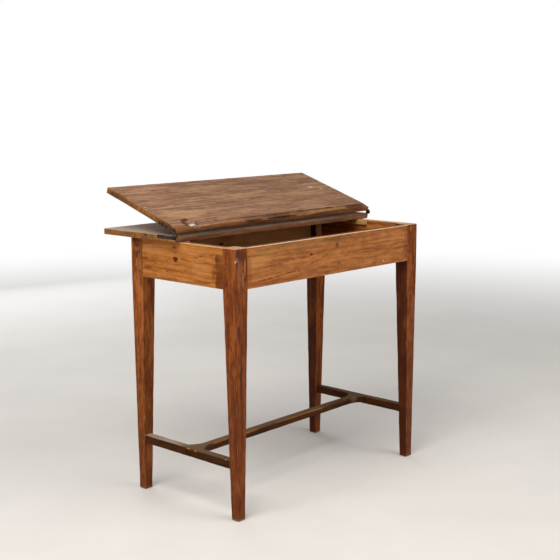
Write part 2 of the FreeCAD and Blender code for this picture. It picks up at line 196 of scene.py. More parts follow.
class WritingTableSettings(bpy.types.PropertyGroup):
    """All settings of the writing table."""
    frame_wood: PointerProperty(type=FrameWoodSettings)
    leaf_wood: PointerProperty(type=LeafWoodSettings)
    stretcher_wood: PointerProperty(type=StretcherWoodSettings)
    inner_wood: PointerProperty(type=InnerWoodSettings)
    old_iron: PointerProperty(type=OldIronSettings)
    studio: PointerProperty(type=StudioSettings)


# Shader maths: a socket that can be added, multiplied and compared like a number

class Field:
    """A number, place, direction or colour that varies over a surface."""

    def __init__(self, finish, socket):
        self.finish = finish
        self.socket = socket

    def maths(self, operation, *parts, output=0):
        kind = "ShaderNodeVectorMath" if self.socket.type == "VECTOR" else "ShaderNodeMath"
        return self.finish.node(kind, {"operation": operation}, dict(enumerate(parts)), output)

    def __add__(self, other):
        return self.maths("ADD", self, other)

    __radd__ = __add__

    def __sub__(self, other):
        return self.maths("SUBTRACT", self, other)

    def __rsub__(self, other):
        return self.maths("SUBTRACT", other, self)

    def __mul__(self, other):
        return self.maths("MULTIPLY", self, other)

    __rmul__ = __mul__

    def __truediv__(self, other):
        return self.maths("DIVIDE", self, other)

    def __pow__(self, other):
        return self.maths("POWER", self, other)

    def __abs__(self):
        return self.maths("ABSOLUTE", self)

    def least(self, other):
        return self.maths("MINIMUM", self, other)

    def most(self, other):
        return self.maths("MAXIMUM", self, other)

    def remainder(self):
        return self.maths("FRACT", self)

    def length(self):
        return self.maths("LENGTH", self, output=1)

    def parts(self):
        return [self.finish.node("ShaderNodeSeparateXYZ", {}, {0: self}, axis) for axis in range(3)]

    def rise(self, low, high):
        """Smooth step from 0 at low to 1 at high; low may be the larger."""
        return self.finish.node("ShaderNodeMapRange", {"interpolation_type": "SMOOTHSTEP"},
                                {"Value": self, "From Min": low, "From Max": high})

    def near_ends(self, low, high, start, stop):
        """Rises from 0 to 1 towards both ends of a run, all in millimetres."""
        at_low = self.rise((low + start) * MM, (low + stop) * MM)
        return at_low.most(self.rise((high - start) * MM, (high - stop) * MM))


class Finish:
    """One material under construction."""

    def __init__(self, name):
        self.material = bpy.data.materials.new(name)
        self.material.use_nodes = True
        self.tree = self.material.node_tree
        self.shader = self.tree.nodes["Principled BSDF"]

    def node(self, kind, settings=None, feeds=None, output=0):
        """Adds a node, sets it up, feeds its sockets and gives one of its outputs."""
        made = self.tree.nodes.new(kind)
        for key, value in (settings or {}).items():
            setattr(made, key, value)
        for key, value in (feeds or {}).items():
            self.feed(made.inputs[key], value)
        return Field(self, made.outputs[output])

    def feed(self, socket, value):
        if isinstance(value, Field):
            self.tree.links.new(value.socket, socket)
        elif socket.type == "RGBA":
            socket.default_value = tuple(value)[:3] + (1.0,)
        else:
            socket.default_value = value

    def attribute(self, name, output=1):
        settings = {"attribute_type": "GEOMETRY", "attribute_name": name}
        return self.node("ShaderNodeAttribute", settings, {}, output)

    def place(self):
        """Place in the object's own axes."""
        return self.node("ShaderNodeTexCoord", {}, {}, 3)

    def grain(self, place, stretch, detail=2.0, roughness=0.5):
        """Noise from 0 to 1 with so many waves a metre along each axis."""
        feeds = {"Vector": place * stretch, "Scale": 1.0, "Detail": detail, "Roughness": roughness}
        return self.node("ShaderNodeTexNoise", {}, feeds)

    def mix(self, low, high, share):
        return self.node("ShaderNodeMix", {"data_type": "RGBA"}, {0: share, 6: low, 7: high}, 2)

    def close(self, colour, roughness, height=None, distance=0.4 * MM, metallic=None, strength=0.6):
        """Feeds the shader and gives the finished material."""
        self.feed(self.shader.inputs["Base Color"], colour)
        self.feed(self.shader.inputs["Roughness"], roughness)
        if metallic is not None:
            self.feed(self.shader.inputs["Metallic"], metallic)
        if height is not None:
            feeds = {"Height": height, "Distance": distance, "Strength": strength}
            self.feed(self.shader.inputs["Normal"], self.node("ShaderNodeBump", {}, feeds))
        return self.material


def shade(colour, factor):
    """A colour times one factor, or one for each channel."""
    factors = factor if isinstance(factor, tuple) else (factor,) * 3
    return tuple(part * share for part, share in zip(colour, factors))


def wood(name, look, seed, pith, light=None, dark=None, knots=(), marks=(), strokes=(), figure=0.22,
         streaking=0.5, griming=0.5, wear=0.3, source="grain", tone=1.0, lively=1.0, lined=1.0, dust=None,
         dust_and_light_drifts=(), ends=None, faces=None, bands=(), hollow=None):
    """Wood with rings about a pith, knots that push them aside, flecks, stains, wear and dust.

    Places are in millimetres along the grain, across it and through the board. A mark is an oval patch of colour,
    a stroke a line, and a band a coloured layer beyond a place on one of the three axes or of the two shares
    of a section; marks, strokes and bands give stains and also painted shade and painted light. A drift gives the
    dust another colour beyond a place on one of the axes, and a pale drift also paints light into shade.
    """
    f = Finish(name)
    colours = (light or look.light, dark or look.dark, look.streak, look.grime, look.worn)
    light, dark, streak, grime, worn_wood = (shade(part, tone) for part in colours)
    if source == "grain":
        place = f.attribute("grain")
    else:
        order = dict(zip("xyz", f.place().parts()))
        place = f.node("ShaderNodeCombineXYZ", {}, {axis: order[source[axis]] for axis in range(3)})
    along, across, through = place.parts()
    moved = place + seed
    ragged = f.grain(moved, (40, 110, 110), 5.0, 0.68)
    slow = f.grain(moved, (1.5, 7, 7), 2.0)
    push = (slow - 0.5) * look.waver
    cores = None
    for ku, kv, radius in knots:
        size = radius * MM
        away = ((place - (ku * MM, kv * MM, 0)) * (0.5 / size, 1 / size, 0)).length() + (slow - 0.5) * 0.8
        push = push + away.rise(3.6, 0.3) * (size * 1.6)
        core = (away + (ragged - 0.5) * 0.6).rise(1.0, 0.4)
        cores = core if cores is None else cores.most(core)
    side = across - pith[0] * MM + push
    deep = through - pith[1] * MM + push * 0.5
    uneven = f.grain(moved, (3, 24, 24), 2.0)
    flow = moved + f.grain(moved, (8, 24, 24), 2.0) * 0.02
    turn = (((side * side + deep * deep) ** 0.5) / look.ring + uneven * 1.6).remainder()
    late = turn.rise(0.15, 0.85) * turn.rise(1.0, 0.9)
    fibre = f.grain(flow, (15, 420, 420), 3.0, 0.65)
    veins = f.grain(flow, (6, 110, 110), 3.0, 0.6)
    flecks = f.grain(flow, (16, 210, 210), 3.0, 0.6).rise(0.56, 0.72)
    mottle = f.grain(flow, (36, 95, 95), 4.0, 0.7)
    patch = f.grain(moved, (9, 22, 22), 3.0, 0.55)
    dots = f.grain(moved, (120, 240, 240), 1.0).rise(0.7, 0.76)

    lines = (fibre - 0.5) * lined + (veins - 0.5) * (2 * lined)
    clouds = (mottle - 0.5) * 2.0 + (patch - 0.5) * 1.2
    share = (late - 0.45) * figure + (lines + clouds) * lively + 0.5
    colour = f.mix(light, dark, share.rise(-0.1, 1.1))
    colour = f.mix(colour, streak, veins.rise(0.54, 0.76) * streaking)
    colour = f.mix(colour, streak, flecks * (streaking * 0.6))
    colour = f.mix(colour, grime, (patch + (mottle - 0.5) * 0.7).rise(0.5, 0.75) * griming)
    colour = f.mix(colour, streak, dots * 0.6)
    rough = look.roughness + (patch - 0.5) * 0.35 + (fibre - 0.5) * 0.15
    height = late * 0.2 + fibre * 0.6 - flecks * 0.4 + patch * 0.5 - dots * 0.5

    edges = f.attribute("rim") if source == "grain" else None
    for axis, low, high, tint, amount in bands:
        if axis < 3:
            span_at = (along, across, through)[axis] + (ragged - 0.5) * (1.2 * MM)
            mask = span_at.rise(low * MM, high * MM)
        else:
            mask = edges.parts()[axis - 2].rise(low, high)
        colour = f.mix(colour, tint, mask * (amount * (0.45 + patch.rise(0.2, 0.6) * 0.55)))
    if faces is not None:
        # the long edges of a board, dark with old varnish
        low, high, tint, amount = faces
        edge = across.near_ends(low, high, 1.6, 0.5)
        tinted = f.mix(tint, shade(tint, 0.5), veins.rise(0.4, 0.7))
        colour = f.mix(colour, tinted, edge * (amount * (0.6 + ragged.rise(0.3, 0.6) * 0.4)))
    if ends is not None:
        # the sawn ends: end grain, yellower, with dark worn patches
        low, high, tint = ends
        end = along.near_ends(low, high, 2.2, 1.2)
        lines = f.grain(moved, (9, 190, 26), 3.0, 0.65)
        sawn = f.mix(tint, shade(tint, 0.45), lines.rise(0.4, 0.7) * 0.8 + (ragged - 0.5) * 0.6)
        sawn = f.mix(sawn, shade(streak, 0.6), f.grain(moved, (9, 30, 50), 3.0, 0.65).rise(0.56, 0.66) * 0.75)
        colour = f.mix(colour, sawn, end)
        rough = rough + end * 0.15
    if cores is not None:
        colour = f.mix(colour, streak, cores * 0.85)
        height = height - cores * 0.4
    if hollow is not None:
        # inside the knot's hollow the wood takes the hollow's own colours; in the cracks the same colours are
        # painted shade, and the deepest parts of the cracks get a darker painted shade
        deep_mark = f.attribute("hollow", 2)
        inside = f.mix(hollow[0], hollow[1], f.grain(moved, (150, 50, 60), 4.0, 0.7).rise(0.38, 0.62))
        colour = f.mix(colour, inside, deep_mark.rise(0.12, 0.6) * 0.95)
        colour = f.mix(colour, shade(hollow[0], 0.4), deep_mark.rise(1.1, 1.6) * (0.5 + ragged * 0.5))
        height = height + ragged * deep_mark
    for centre, radii, tint, amount in marks:
        offset = (place - tuple(part * MM for part in centre)) * tuple(1 / (part * MM) for part in radii)
        mask = (offset.length() + (ragged - 0.5) * 1.3 + (fibre - 0.5) * 0.5).rise(1.05, 0.55)
        colour = f.mix(colour, tint, mask * amount)
    for (su, sv), (eu, ev), thickness, tint, amount in strokes:
        length = math.hypot(eu - su, ev - sv)
        du, dv = (eu - su) / length, (ev - sv) / length
        run = (along - su * MM) * du + (across - sv * MM) * dv
        off = (across - sv * MM) * du - (along - su * MM) * dv
        line = abs(off + (uneven - 0.5) * (9 * MM)).rise(thickness * MM, thickness * 0.2 * MM)
        line = line * run.rise(0, 0.12 * length * MM) * run.rise(length * MM, 0.75 * length * MM)
        colour = f.mix(colour, tint, line * (amount * ragged.rise(0.36, 0.56)))
        height = height - line * 0.3
    if edges is not None and wear > 0:
        rub = f.grain(moved, (18, 50, 50), 3.0, 0.6)
        worn = (edges.parts()[0] + (ragged - 0.5) * (3 * MM)).rise(2.4 * MM, 0.3 * MM) * rub.rise(0.44, 0.64)
        colour = f.mix(colour, worn_wood, worn * wear)
    if dust is not None:
        normal = f.node("ShaderNodeNewGeometry", {}, {}, 1)
        up = normal.parts()[2].rise(0.3, 0.85)
        settle = up * (0.68 + (patch - 0.5) * 1.1 + (fibre - 0.5) * 0.6).rise(0.1, 0.75)
        dusty = dust[0]
        # a drift gives the dust another colour; a pale drift also paints light into a shaded place
        for axis, low, high, tint in dust_and_light_drifts:
            dusty = f.mix(dusty, tint, (along, across, through)[axis].rise(low * MM, high * MM))
        colour = f.mix(colour, dusty, settle * dust[1])
        rough = rough + settle * 0.25
    f.feed(f.shader.inputs["Specular IOR Level"], 0.1)
    return f.close(colour, rough, height)


def iron(name, look, rubbed=0.25, seed=(0, 0, 0)):
    """Forged iron with brown rust, pits and rubbed places."""
    f = Finish(name)
    place = f.place() + seed
    blotch = f.grain(place, (110, 110, 110), 4.0, 0.6)
    pits = f.grain(place, (900, 900, 900), 2.0, 0.6)
    rust = blotch.rise(0.42, 0.62)
    rub = f.grain(place, (260, 260, 260), 3.0, 0.6).rise(0.5, 0.7) * rubbed
    colour = f.mix(look.scale, look.rust, rust * 0.8 + (pits - 0.5) * 0.4)
    colour = f.mix(colour, look.bare, rub)
    rough = look.roughness + rust * 0.25 - rub * 0.3
    metallic = 0.75 - rust * 0.6 + rub * 0.3
    return f.close(colour, rough, pits * 0.5 + blotch * 0.5, 0.3 * MM, metallic.least(1.0))


# Meshes: boards and posts with softened, unevenly worn arrises

LEAST_GAP = 0.08 * MM
ARRIS_ROWS = (0, 0.35, 0.8, 1.4, 2)
# Arrises are rounded by these shares of the usual radius, and by less than half of a thin board
ARRIS_SHARES = (0.8, 1.9)
ARRIS_WAVES = 23
THIN_SHARE = 0.45
DENT_WAVES = (9, 60)


def row_shares(length, arris, step, close=()):
    """Shares of a length at which a mesh gets a row of points, closer at the arrises."""
    edge = [share * arris for share in ARRIS_ROWS]
    marks = edge + [length - part for part in edge]
    inner = length - 4 * arris
    count = max(1, round(inner / step))
    marks += [2 * arris + inner * index / count for index in range(1, count)]
    for start, stop, gap in close:
        steps = max(1, round((stop - start) / gap))
        marks += [start + (stop - start) * index / steps for index in range(steps + 1)]
    marks = sorted(part for part in marks if 0 <= part <= length)
    kept = []
    for part in marks:
        if not kept or part - kept[-1] > LEAST_GAP:
            kept.append(part)
    kept[-1] = length
    return [part / length for part in kept]


def around(place):
    """Two rows of points just before and just after a place."""
    return (place - 0.1 * MM, place + 0.1 * MM, 0.2 * MM)


def even(*faces):
    """A section that stays the same along the run."""
    return lambda run: faces


def lay_upright(point):
    return Vector((point.y, point.z, point.x))


def lay_along_x(point):
    return Vector((point.x, point.z, point.y))


def lay_along_y(point):
    return Vector((point.z, point.x, point.y))


def hewn(name, node, spans, section, steps, look, lay, seed, ragged=0.35, close=((), (), ()), carve=None):
    """A board or post cut to a section along its grain, with worn arrises.

    spans is its run along the grain, section gives its two faces across and its two faces through at any
    place of the run, and lay turns places in the board into places in the table. steps are the distances
    between its rows of points on the three axes, close the stretches with closer rows, and carve moves a
    point of the surface and tells how hollow the wood is there.
    """
    start, stop = spans
    middle = section((start + stop) / 2)
    arris = look.arris
    u_shares = row_shares(stop - start, arris, steps[0], close[0])
    v_shares = row_shares(middle[1] - middle[0], arris, steps[1], close[1])
    w_shares = row_shares(middle[3] - middle[2], arris, steps[2], close[2])
    counts = (len(u_shares) - 1, len(v_shares) - 1, len(w_shares) - 1)
    index_of = {}
    points = []
    grain = []
    rims = []
    hollows = []
    shift = Vector(seed)
    for i, u_share in enumerate(u_shares):
        u = start + (stop - start) * u_share
        v0, v1, w0, w1 = section(u)
        for j, v_share in enumerate(v_shares):
            on_v = j in (0, counts[1])
            for k, w_share in enumerate(w_shares):
                if not (i in (0, counts[0]) or on_v or k in (0, counts[2])):
                    continue
                raw = Vector((u, v0 + (v1 - v0) * v_share, w0 + (w1 - w0) * w_share))
                rough = noise.noise(raw * ARRIS_WAVES + shift)
                radius = arris * min(ARRIS_SHARES[1], max(ARRIS_SHARES[0], 1.05 + 1.3 * rough))
                radius = min(radius, THIN_SHARE * (v1 - v0), THIN_SHARE * (w1 - w0))
                low = Vector((start, v0, w0))
                high = Vector((stop, v1, w1))
                inner = Vector([min(max(raw[a], low[a] + radius), high[a] - radius) for a in range(3)])
                out = (raw - inner).normalized()
                dents = 0.6 + 0.4 * noise.noise(raw * DENT_WAVES[0] - shift)
                dents += 0.3 * max(0.0, noise.noise(raw * DENT_WAVES[1] + shift) - 0.25)
                point = inner + out * (radius - ragged * MM * dents)
                hollow = 0.0
                if carve is not None:
                    point, hollow = carve(point, raw)
                gaps = sorted([min(raw[a] - low[a], high[a] - raw[a]) for a in range(3)])
                index_of[i, j, k] = len(points)
                points.append(lay(point))
                grain.append(raw)
                rims += (gaps[1], v_share, w_share)
                hollows.append(hollow)
    faces = []

    def quad(a, b, c, d, flip):
        corners = [index_of[part] for part in (a, b, c, d)]
        faces.append(corners[::-1] if flip else corners)

    for j in range(counts[1]):
        for k in range(counts[2]):
            for i in (0, counts[0]):
                quad((i, j, k), (i, j, k + 1), (i, j + 1, k + 1), (i, j + 1, k), i != 0)
    for i in range(counts[0]):
        for k in range(counts[2]):
            for j in (0, counts[1]):
                quad((i, j, k), (i + 1, j, k), (i + 1, j, k + 1), (i, j, k + 1), j != 0)
    for i in range(counts[0]):
        for j in range(counts[1]):
            for k in (0, counts[2]):
                quad((i, j, k), (i, j + 1, k), (i + 1, j + 1, k), (i + 1, j, k), k != 0)
    origin = lay(Vector((0, 0, 0)))
    mirrored = (lay(Vector((1, 0, 0))) - origin).cross(lay(Vector((0, 1, 0))) - origin).dot(
        lay(Vector((0, 0, 1))) - origin) < 0
    mesh = bpy.data.meshes.new(name)
    mesh.from_pydata(points, [], [face[::-1] for face in faces] if mirrored else faces)
    mesh.attributes.new("grain", "FLOAT_VECTOR", "POINT").data.foreach_set(
        "vector", [part for place in grain for part in place])
    mesh.attributes.new("rim", "FLOAT_VECTOR", "POINT").data.foreach_set("vector", rims)
    mesh.attributes.new("hollow", "FLOAT", "POINT").data.foreach_set("value", hollows)
    mesh.polygons.foreach_set("use_smooth", [True] * len(mesh.polygons))
    mesh.update()
    return seat(name, mesh, node)


def seat(name, mesh, node):
    """Puts a mesh in the scene in the place of a node."""
    piece = bpy.data.objects.new(name, mesh)
    bpy.context.scene.collection.objects.link(piece)
    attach(piece, body_of(node))
    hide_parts(node)
    return piece


def body_of(node):
    for body, nodes in frame["record"]["behaviour"]["bodies"].items():
        if node in nodes:
            return body
    raise ValueError("no body holds " + node)


def coat(piece, material):
    piece.data.materials.clear()
    piece.data.materials.append(material)


def coat_node(name, material):
    """Gives a node that stays its finish."""
    for slot in frame["nodes"][name].material_slots:
        slot.material = material


def span(name, axis):
    low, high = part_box(name)
    return low[axis], high[axis]


def settings():
    return bpy.context.scene.writing_table


def oval_marks(level, depth, rows):
    """Oval marks at one level: rows give the place along and across, two radii, a colour and an amount."""
    return [((u, v, level), (ru, rv, depth), tint, amount) for u, v, ru, rv, tint, amount in rows]


# Legs

LEG_TOP = 45 * MM
LEG_FOOT = 25.4 * MM
LEG_TAPERS = (6.9 * MM, 3.8 * MM)
LEG_STEPS = (8 * MM, 5 * MM, 5 * MM)
LEG_PITH = (44, -36)
APRON_BOTTOM = 605 * MM


def leg_section(node, height):
    """Faces of a leg at a height: square above, tapering below the aprons."""
    taper = max(0.0, (APRON_BOTTOM - height) / APRON_BOTTOM)
    faces = []
    for axis in (0, 1):
        low, high = span(node, axis)
        middle = (span("leg_front_left", axis)[0] + span("leg_back_right", axis)[1]) / 2
        outer, side = (low, 1) if (low + high) / 2 < middle else (high, -1)
        near = outer + side * LEG_TAPERS[axis] * taper
        far = near + side * (LEG_TOP - (LEG_TOP - LEG_FOOT) * taper)
        faces += sorted((near, far))
    return faces


DARK_STAIN = paint(66, 42, 40)
OLIVE_STAIN = paint(124, 104, 62)
WHITE_CHIP = paint(222, 208, 196)
FOOT_PALE = paint(158, 138, 104)
RED_STAIN = paint(118, 50, 26)
BROWN_STAIN = paint(88, 46, 20)
SCUFF = paint(182, 128, 92)
PALE_ARRIS = paint(224, 184, 144)

LEG_MARKS = {
    "leg_front_left": [
        ((694, -366, -247), (22, 14, 14), DARK_STAIN, 0.75),
        ((672, -370, -247), (16, 12, 12), DARK_STAIN, 0.5),
        ((690, -352, -247), (14, 7, 10), BROWN_STAIN, 0.5),
        ((679, -379, -247), (4, 2.2, 3), WHITE_CHIP, 0.75),
        ((682, -373, -247), (7, 2.5, 4), SCUFF, 0.7),
        ((664, -345, -247), (26, 3, 8), SCUFF, 0.6),
        ((640, -352, -247), (34, 3, 8), SCUFF, 0.4),
        ((648, -366, -247), (44, 8, 8), SCUFF, 0.3),
        ((644, -377, -247), (5, 3, 4), DARK_STAIN, 0.8),
        ((654, -351, -247), (5, 2.5, 4), DARK_STAIN, 0.8),
        ((600, -374, -247), (26, 4, 10), DARK_STAIN, 0.5),
        ((563, -366, -247), (20, 5, 10), DARK_STAIN, 0.55),
        ((530, -350, -246), (30, 6, 10), BROWN_STAIN, 0.5),
        ((494, -368, -246), (26, 6, 10), DARK_STAIN, 0.65),
        ((452, -356, -245), (24, 7, 10), BROWN_STAIN, 0.5),
        ((384, -363, -245), (15, 6, 10), DARK_STAIN, 0.75),
        ((350, -360, -245), (18, 4, 10), DARK_STAIN, 0.4),
        ((668, -380, -228), (46, 6, 8), BROWN_STAIN, 0.55),
        ((690, -380, -215), (20, 4, 8), RED_STAIN, 0.4),
        ((560, -380, -232), (90, 5, 8), RED_STAIN, 0.35),
    ],
    "leg_back_left": [
        ((704, -380, 136), (12, 10, 11), DARK_STAIN, 0.8),
        ((690, -380, 132), (9, 10, 8), DARK_STAIN, 0.7),
        ((682, -380, 125), (4, 8, 14), OLIVE_STAIN, 0.7),
        ((666, -380, 131), (14, 10, 7), DARK_STAIN, 0.8),
        ((620, -380, 122), (70, 8, 6), SCUFF, 0.3),
    ],
    "leg_front_right": [
        ((690, 372, -247), (20, 6, 10), RED_STAIN, 0.5),
        ((700, 350, -247), (10, 5, 10), SCUFF, 0.5),
        ((560, 362, -247), (90, 4, 10), BROWN_STAIN, 0.4),
        ((400, 366, -246), (90, 4, 10), BROWN_STAIN, 0.4),
    ],
    "leg_back_right": [
        # painted light: the face inside the compartment is made pale to lift the shade there
        ((676, 352, 108), (70, 34, 6), paint(250, 190, 120), 1.0),
    ],
}
# For each leg a seed, its tone, partly its own colour and partly painted light for how brightly the leg is lit,
# and how dark the painted shade on its face towards the compartment is
LEG_LOOKS = {
    "leg_front_left": ((3.1, 1.7, 5.2), (0.96, 0.94, 1.0), 0.12),
    "leg_front_right": ((7.4, 2.2, 1.9), (1.0, 1.08, 1.3), 0.12),
    "leg_back_left": ((1.3, 6.8, 4.4), (1.3, 1.44, 1.42), 0.5),
    "leg_back_right": ((5.9, 4.1, 8.6), (0.96, 0.92, 0.5), 0.1),
}


class WRITINGTABLE_OT_legs(bpy.types.Operator):
    """Make the four tapered legs with worn arrises and their stains"""
    bl_idname = "writing_table.legs"
    bl_label = "Legs"

    def execute(self, context):
        look = settings().frame_wood
        # the colour of the painted shade on the legs' inner faces
        inside = shade(look.leg_dark, 0.5)
        for node, (seed, tone, back_shade) in LEG_LOOKS.items():
            leg = hewn("post_" + node, node, span(node, 2), partial(leg_section, node), LEG_STEPS, look,
                       lay_upright, seed)
            x0, x1, y0, y1 = leg_section(node, APRON_BOTTOM)
            pith = ((x0 + x1) / 2 / MM + LEG_PITH[0], (y0 + y1) / 2 / MM + LEG_PITH[1])
            # the top is pale, the lower part darker and the foot rubbed pale; painted shade darkens the inner
            # faces and the faces towards −Y
            bands = [(0, 709.5, 711.5, look.worn, 0.9), (0, 520, 40, shade(look.leg_dark, 0.7), 0.6),
                     (0, 9, 1, FOOT_PALE, 0.5)]
            if node.endswith("right"):
                bands.append((3, 0.06, 0.01, inside, 1.0))
            else:
                bands.append((3, 0.94, 0.99, inside, 0.5))
            bands.append((4, 0.06, 0.01, inside, back_shade))
            coat(leg, wood("finish_" + node, look, seed, pith, look.leg_light, look.leg_dark,
                           marks=LEG_MARKS[node], figure=0.2, streaking=0.6, griming=0.3, wear=0.25,
                           tone=tone, lively=1.3, bands=bands))
        return {"FINISHED"}


# Aprons

TAN_PATCH = paint(200, 138, 82)
GREY_KNOT = paint(98, 72, 54)
DARK_KNOT = paint(84, 40, 12)
DARK_END = paint(104, 46, 14)

APRON_STEPS = (9 * MM, 6 * MM, 5 * MM)
TENON_START = 1.5 * MM
APRON_SEEDS = {
    "apron_front": (2.6, 9.1, 3.3),
    "apron_back": (8.2, 3.7, 6.1),
    "apron_left": (4.7, 5.5, 2.8),
    "apron_right": (6.3, 1.2, 7.7),
}
APRON_LOOKS = {
    "apron_front": ((186, 120, 66), (142, 84, 42), (84, 52, 28)),
    "apron_back": ((190, 118, 58), (140, 78, 30), (200, 158, 118)),
    "apron_left": ((198, 126, 60), (152, 88, 36), (150, 100, 62)),
    "apron_right": ((196, 124, 62), (146, 80, 32), (200, 158, 118)),
}
APRON_KNOTS = {
    "apron_front": [(-92, 669, 4.5), (14, 684, 4)],
    "apron_back": [(-60, 660, 7), (240, 640, 5)],
    "apron_left": [(-26, 664, 4.5)],
    "apron_right": [(60, 650, 6)],
}
APRON_MARKS = {
    "apron_front": [
        ((-300, 672, -246), (60, 18, 12), TAN_PATCH, 0.5),
        ((-110, 698, -246), (230, 13, 9), OLIVE_STAIN, 0.25),
        ((60, 700, -246), (170, 10, 9), DARK_KNOT, 0.2),
        ((14, 685, -246), (10, 11, 9), GREY_KNOT, 0.75),
        ((-92, 669, -246), (4, 3.6, 6), DARK_KNOT, 0.9),
        ((-140, 630, -246), (8, 4, 6), DARK_KNOT, 0.6),
        ((24, 633, -246), (10, 3.5, 9), DARK_KNOT, 0.5),
        ((178, 617, -246), (13, 4, 9), DARK_KNOT, 0.45),
        ((-31, 613, -246), (12, 5, 9), DARK_KNOT, 0.4),
        ((221, 618, -246), (2.6, 2.6, 6), WHITE_CHIP, 0.85),
        ((-236, 613, -246), (120, 6, 9), RED_STAIN, 0.45),
        ((190, 610, -246), (150, 5, 9), RED_STAIN, 0.3),
        ((-330, 650, -246), (12, 50, 9), RED_STAIN, 0.3),
        ((330, 655, -246), (14, 60, 9), DARK_END, 0.4),
        ((0, 711.6, -246.4), (1400, 2.6, 3), PALE_ARRIS, 1.0),
    ],
    "apron_back": [],
    "apron_left": [
        ((-25, 665, -379), (12, 9, 6), DARK_KNOT, 1.0),
        ((-21, 696, -379), (10, 3.5, 8), DARK_KNOT, 0.7),
        ((-121, 682, -379), (6, 2.6, 8), DARK_KNOT, 0.8),
        ((-104, 678, -379), (9, 2, 8), DARK_KNOT, 0.5),
        ((96, 657, -379), (15, 3.5, 8), RED_STAIN, 0.75),
        ((84, 634, -379), (24, 5, 8), RED_STAIN, 0.75),
        ((10, 632, -379), (5, 3, 8), DARK_KNOT, 0.7),
        ((8, 658, -379), (5, 2.5, 8), DARK_KNOT, 0.5),
        ((55, 647, -379), (4, 2.5, 8), DARK_KNOT, 0.5),
        ((-190, 652, -379), (22, 50, 9), DARK_END, 0.7),
        ((-192, 622, -379), (18, 34, 9), DARK_END, 0.7),
        ((-168, 640, -379), (9, 20, 9), DARK_END, 0.5),
        ((-180, 680, -379), (8, 14, 9), DARK_KNOT, 0.6),
        ((-179, 625, -379), (5, 26, 9), DARK_KNOT, 0.5),
        ((20, 609, -379), (130, 3.5, 8), DARK_END, 0.4),
        ((-120, 615, -379), (40, 5, 8), DARK_END, 0.45),
        ((60, 684, -379), (60, 16, 8), TAN_PATCH, 0.5),
        ((-90, 690, -379), (70, 9, 8), TAN_PATCH, 0.45),
        ((-120, 650, -379), (50, 22, 8), TAN_PATCH, 0.4),
        ((-40, 711.6, -380), (700, 2.6, 3), PALE_ARRIS, 0.9),
    ],
    "apron_right": [],
}
APRON_STROKES = {
    "apron_front": [
        ((-313, 619), (-135, 633), 3.0, DARK_KNOT, 0.85),
        ((-113, 637), (5, 672), 3.0, DARK_KNOT, 0.55),
        ((-290, 650), (-180, 662), 2.4, DARK_KNOT, 0.5),
        ((-130, 662), (-60, 702), 2.4, DARK_KNOT, 0.6),
        ((-330, 690), (-200, 682), 3.0, OLIVE_STAIN, 0.7),
    ],
    "apron_left": [
        ((-42, 671), (-86, 664), 2.8, DARK_KNOT, 1.0),
        ((-95, 662), (-160, 668), 2.0, DARK_KNOT, 0.5),
        ((100, 688), (10, 694), 2.0, DARK_KNOT, 0.4),
    ],
}


class WRITINGTABLE_OT_aprons(bpy.types.Operator):
    """Make the four aprons that form the open box"""
    bl_idname = "writing_table.aprons"
    bl_label = "Aprons"

    def execute(self, context):
        look = settings().frame_wood
        for node, seed in APRON_SEEDS.items():
            lengthwise = node in ("apron_front", "apron_back")
            run, through = (0, 1) if lengthwise else (1, 0)
            # the board alone, between the legs' faces and the first of its tenons
            far_leg = "leg_front_right" if lengthwise else "leg_back_left"
            ends = (span("leg_front_left", run)[1] - TENON_START, span(far_leg, run)[0] + TENON_START)
            low, high = span(node, through)
            board = hewn("board_" + node, node, ends, even(*span(node, 2), low, high), APRON_STEPS, look,
                         lay_along_x if lengthwise else lay_along_y, seed)
            pith = (560 if lengthwise else 740, (low + high) / 2 / MM + (90 if low < 0 else -90))
            light, dark, upper = (paint(*part) for part in APRON_LOOKS[node])
            # painted light: the back apron's inner face is made pale to lift the shade inside the compartment
            inside = [(4, 0.3, 0.1, paint(240, 178, 112), 1.0)] if node == "apron_back" else []
            coat(board, wood("finish_" + node, look, seed, pith, light, dark, knots=APRON_KNOTS[node],
                             marks=APRON_MARKS[node], strokes=APRON_STROKES.get(node, ()), figure=0.3,
                             streaking=0.3, griming=0.25, wear=0.5, lively=0.85,
                             bands=[(1, 709.8, 711.2, upper, 1.4)] + inside))
        return {"FINISHED"}


class WRITINGTABLE_OT_pegs(bpy.types.Operator):
    """Give the draw pegs dark end grain"""
    bl_idname = "writing_table.pegs"
    bl_label = "Draw pegs"

    def execute(self, context):
        look = settings().frame_wood
        coat_node("apron_pegs", wood("finish_pegs", look, (2, 3, 4), (0, 0), shade(look.leg_dark, 1.1),
                                     shade(look.leg_dark, 0.6), source="xyz"))
        return {"FINISHED"}


# Stretchers

FLARE_LENGTH = 45 * MM
SLIM_HALF = 11 * MM
WIDE_HALF = 31 * MM
LONG_ENDS = (-16 * MM, 6 * MM)
LONG_STEPS = (6 * MM, 4 * MM, 4 * MM)
SIDE_STEPS = (7 * MM, 5 * MM, 5 * MM)
SIDE_TENON_START = 3 * MM
LONG_TENON_START = 1 * MM
WORN_ARRIS = 5 * MM
LEAST_WORN = 1 * MM
ROLL_REACH = 1.6


def roll(point, near, below, radius):
    """Rounds an upper arris over a wide radius, near and below being the distances to its two faces."""
    reach = ROLL_REACH * radius
    if near < radius and below < reach:
        drop = radius - math.sqrt(radius ** 2 - (radius - max(0.0, near)) ** 2)
        point.z -= drop * (1 - max(0.0, below) / reach)
    return point


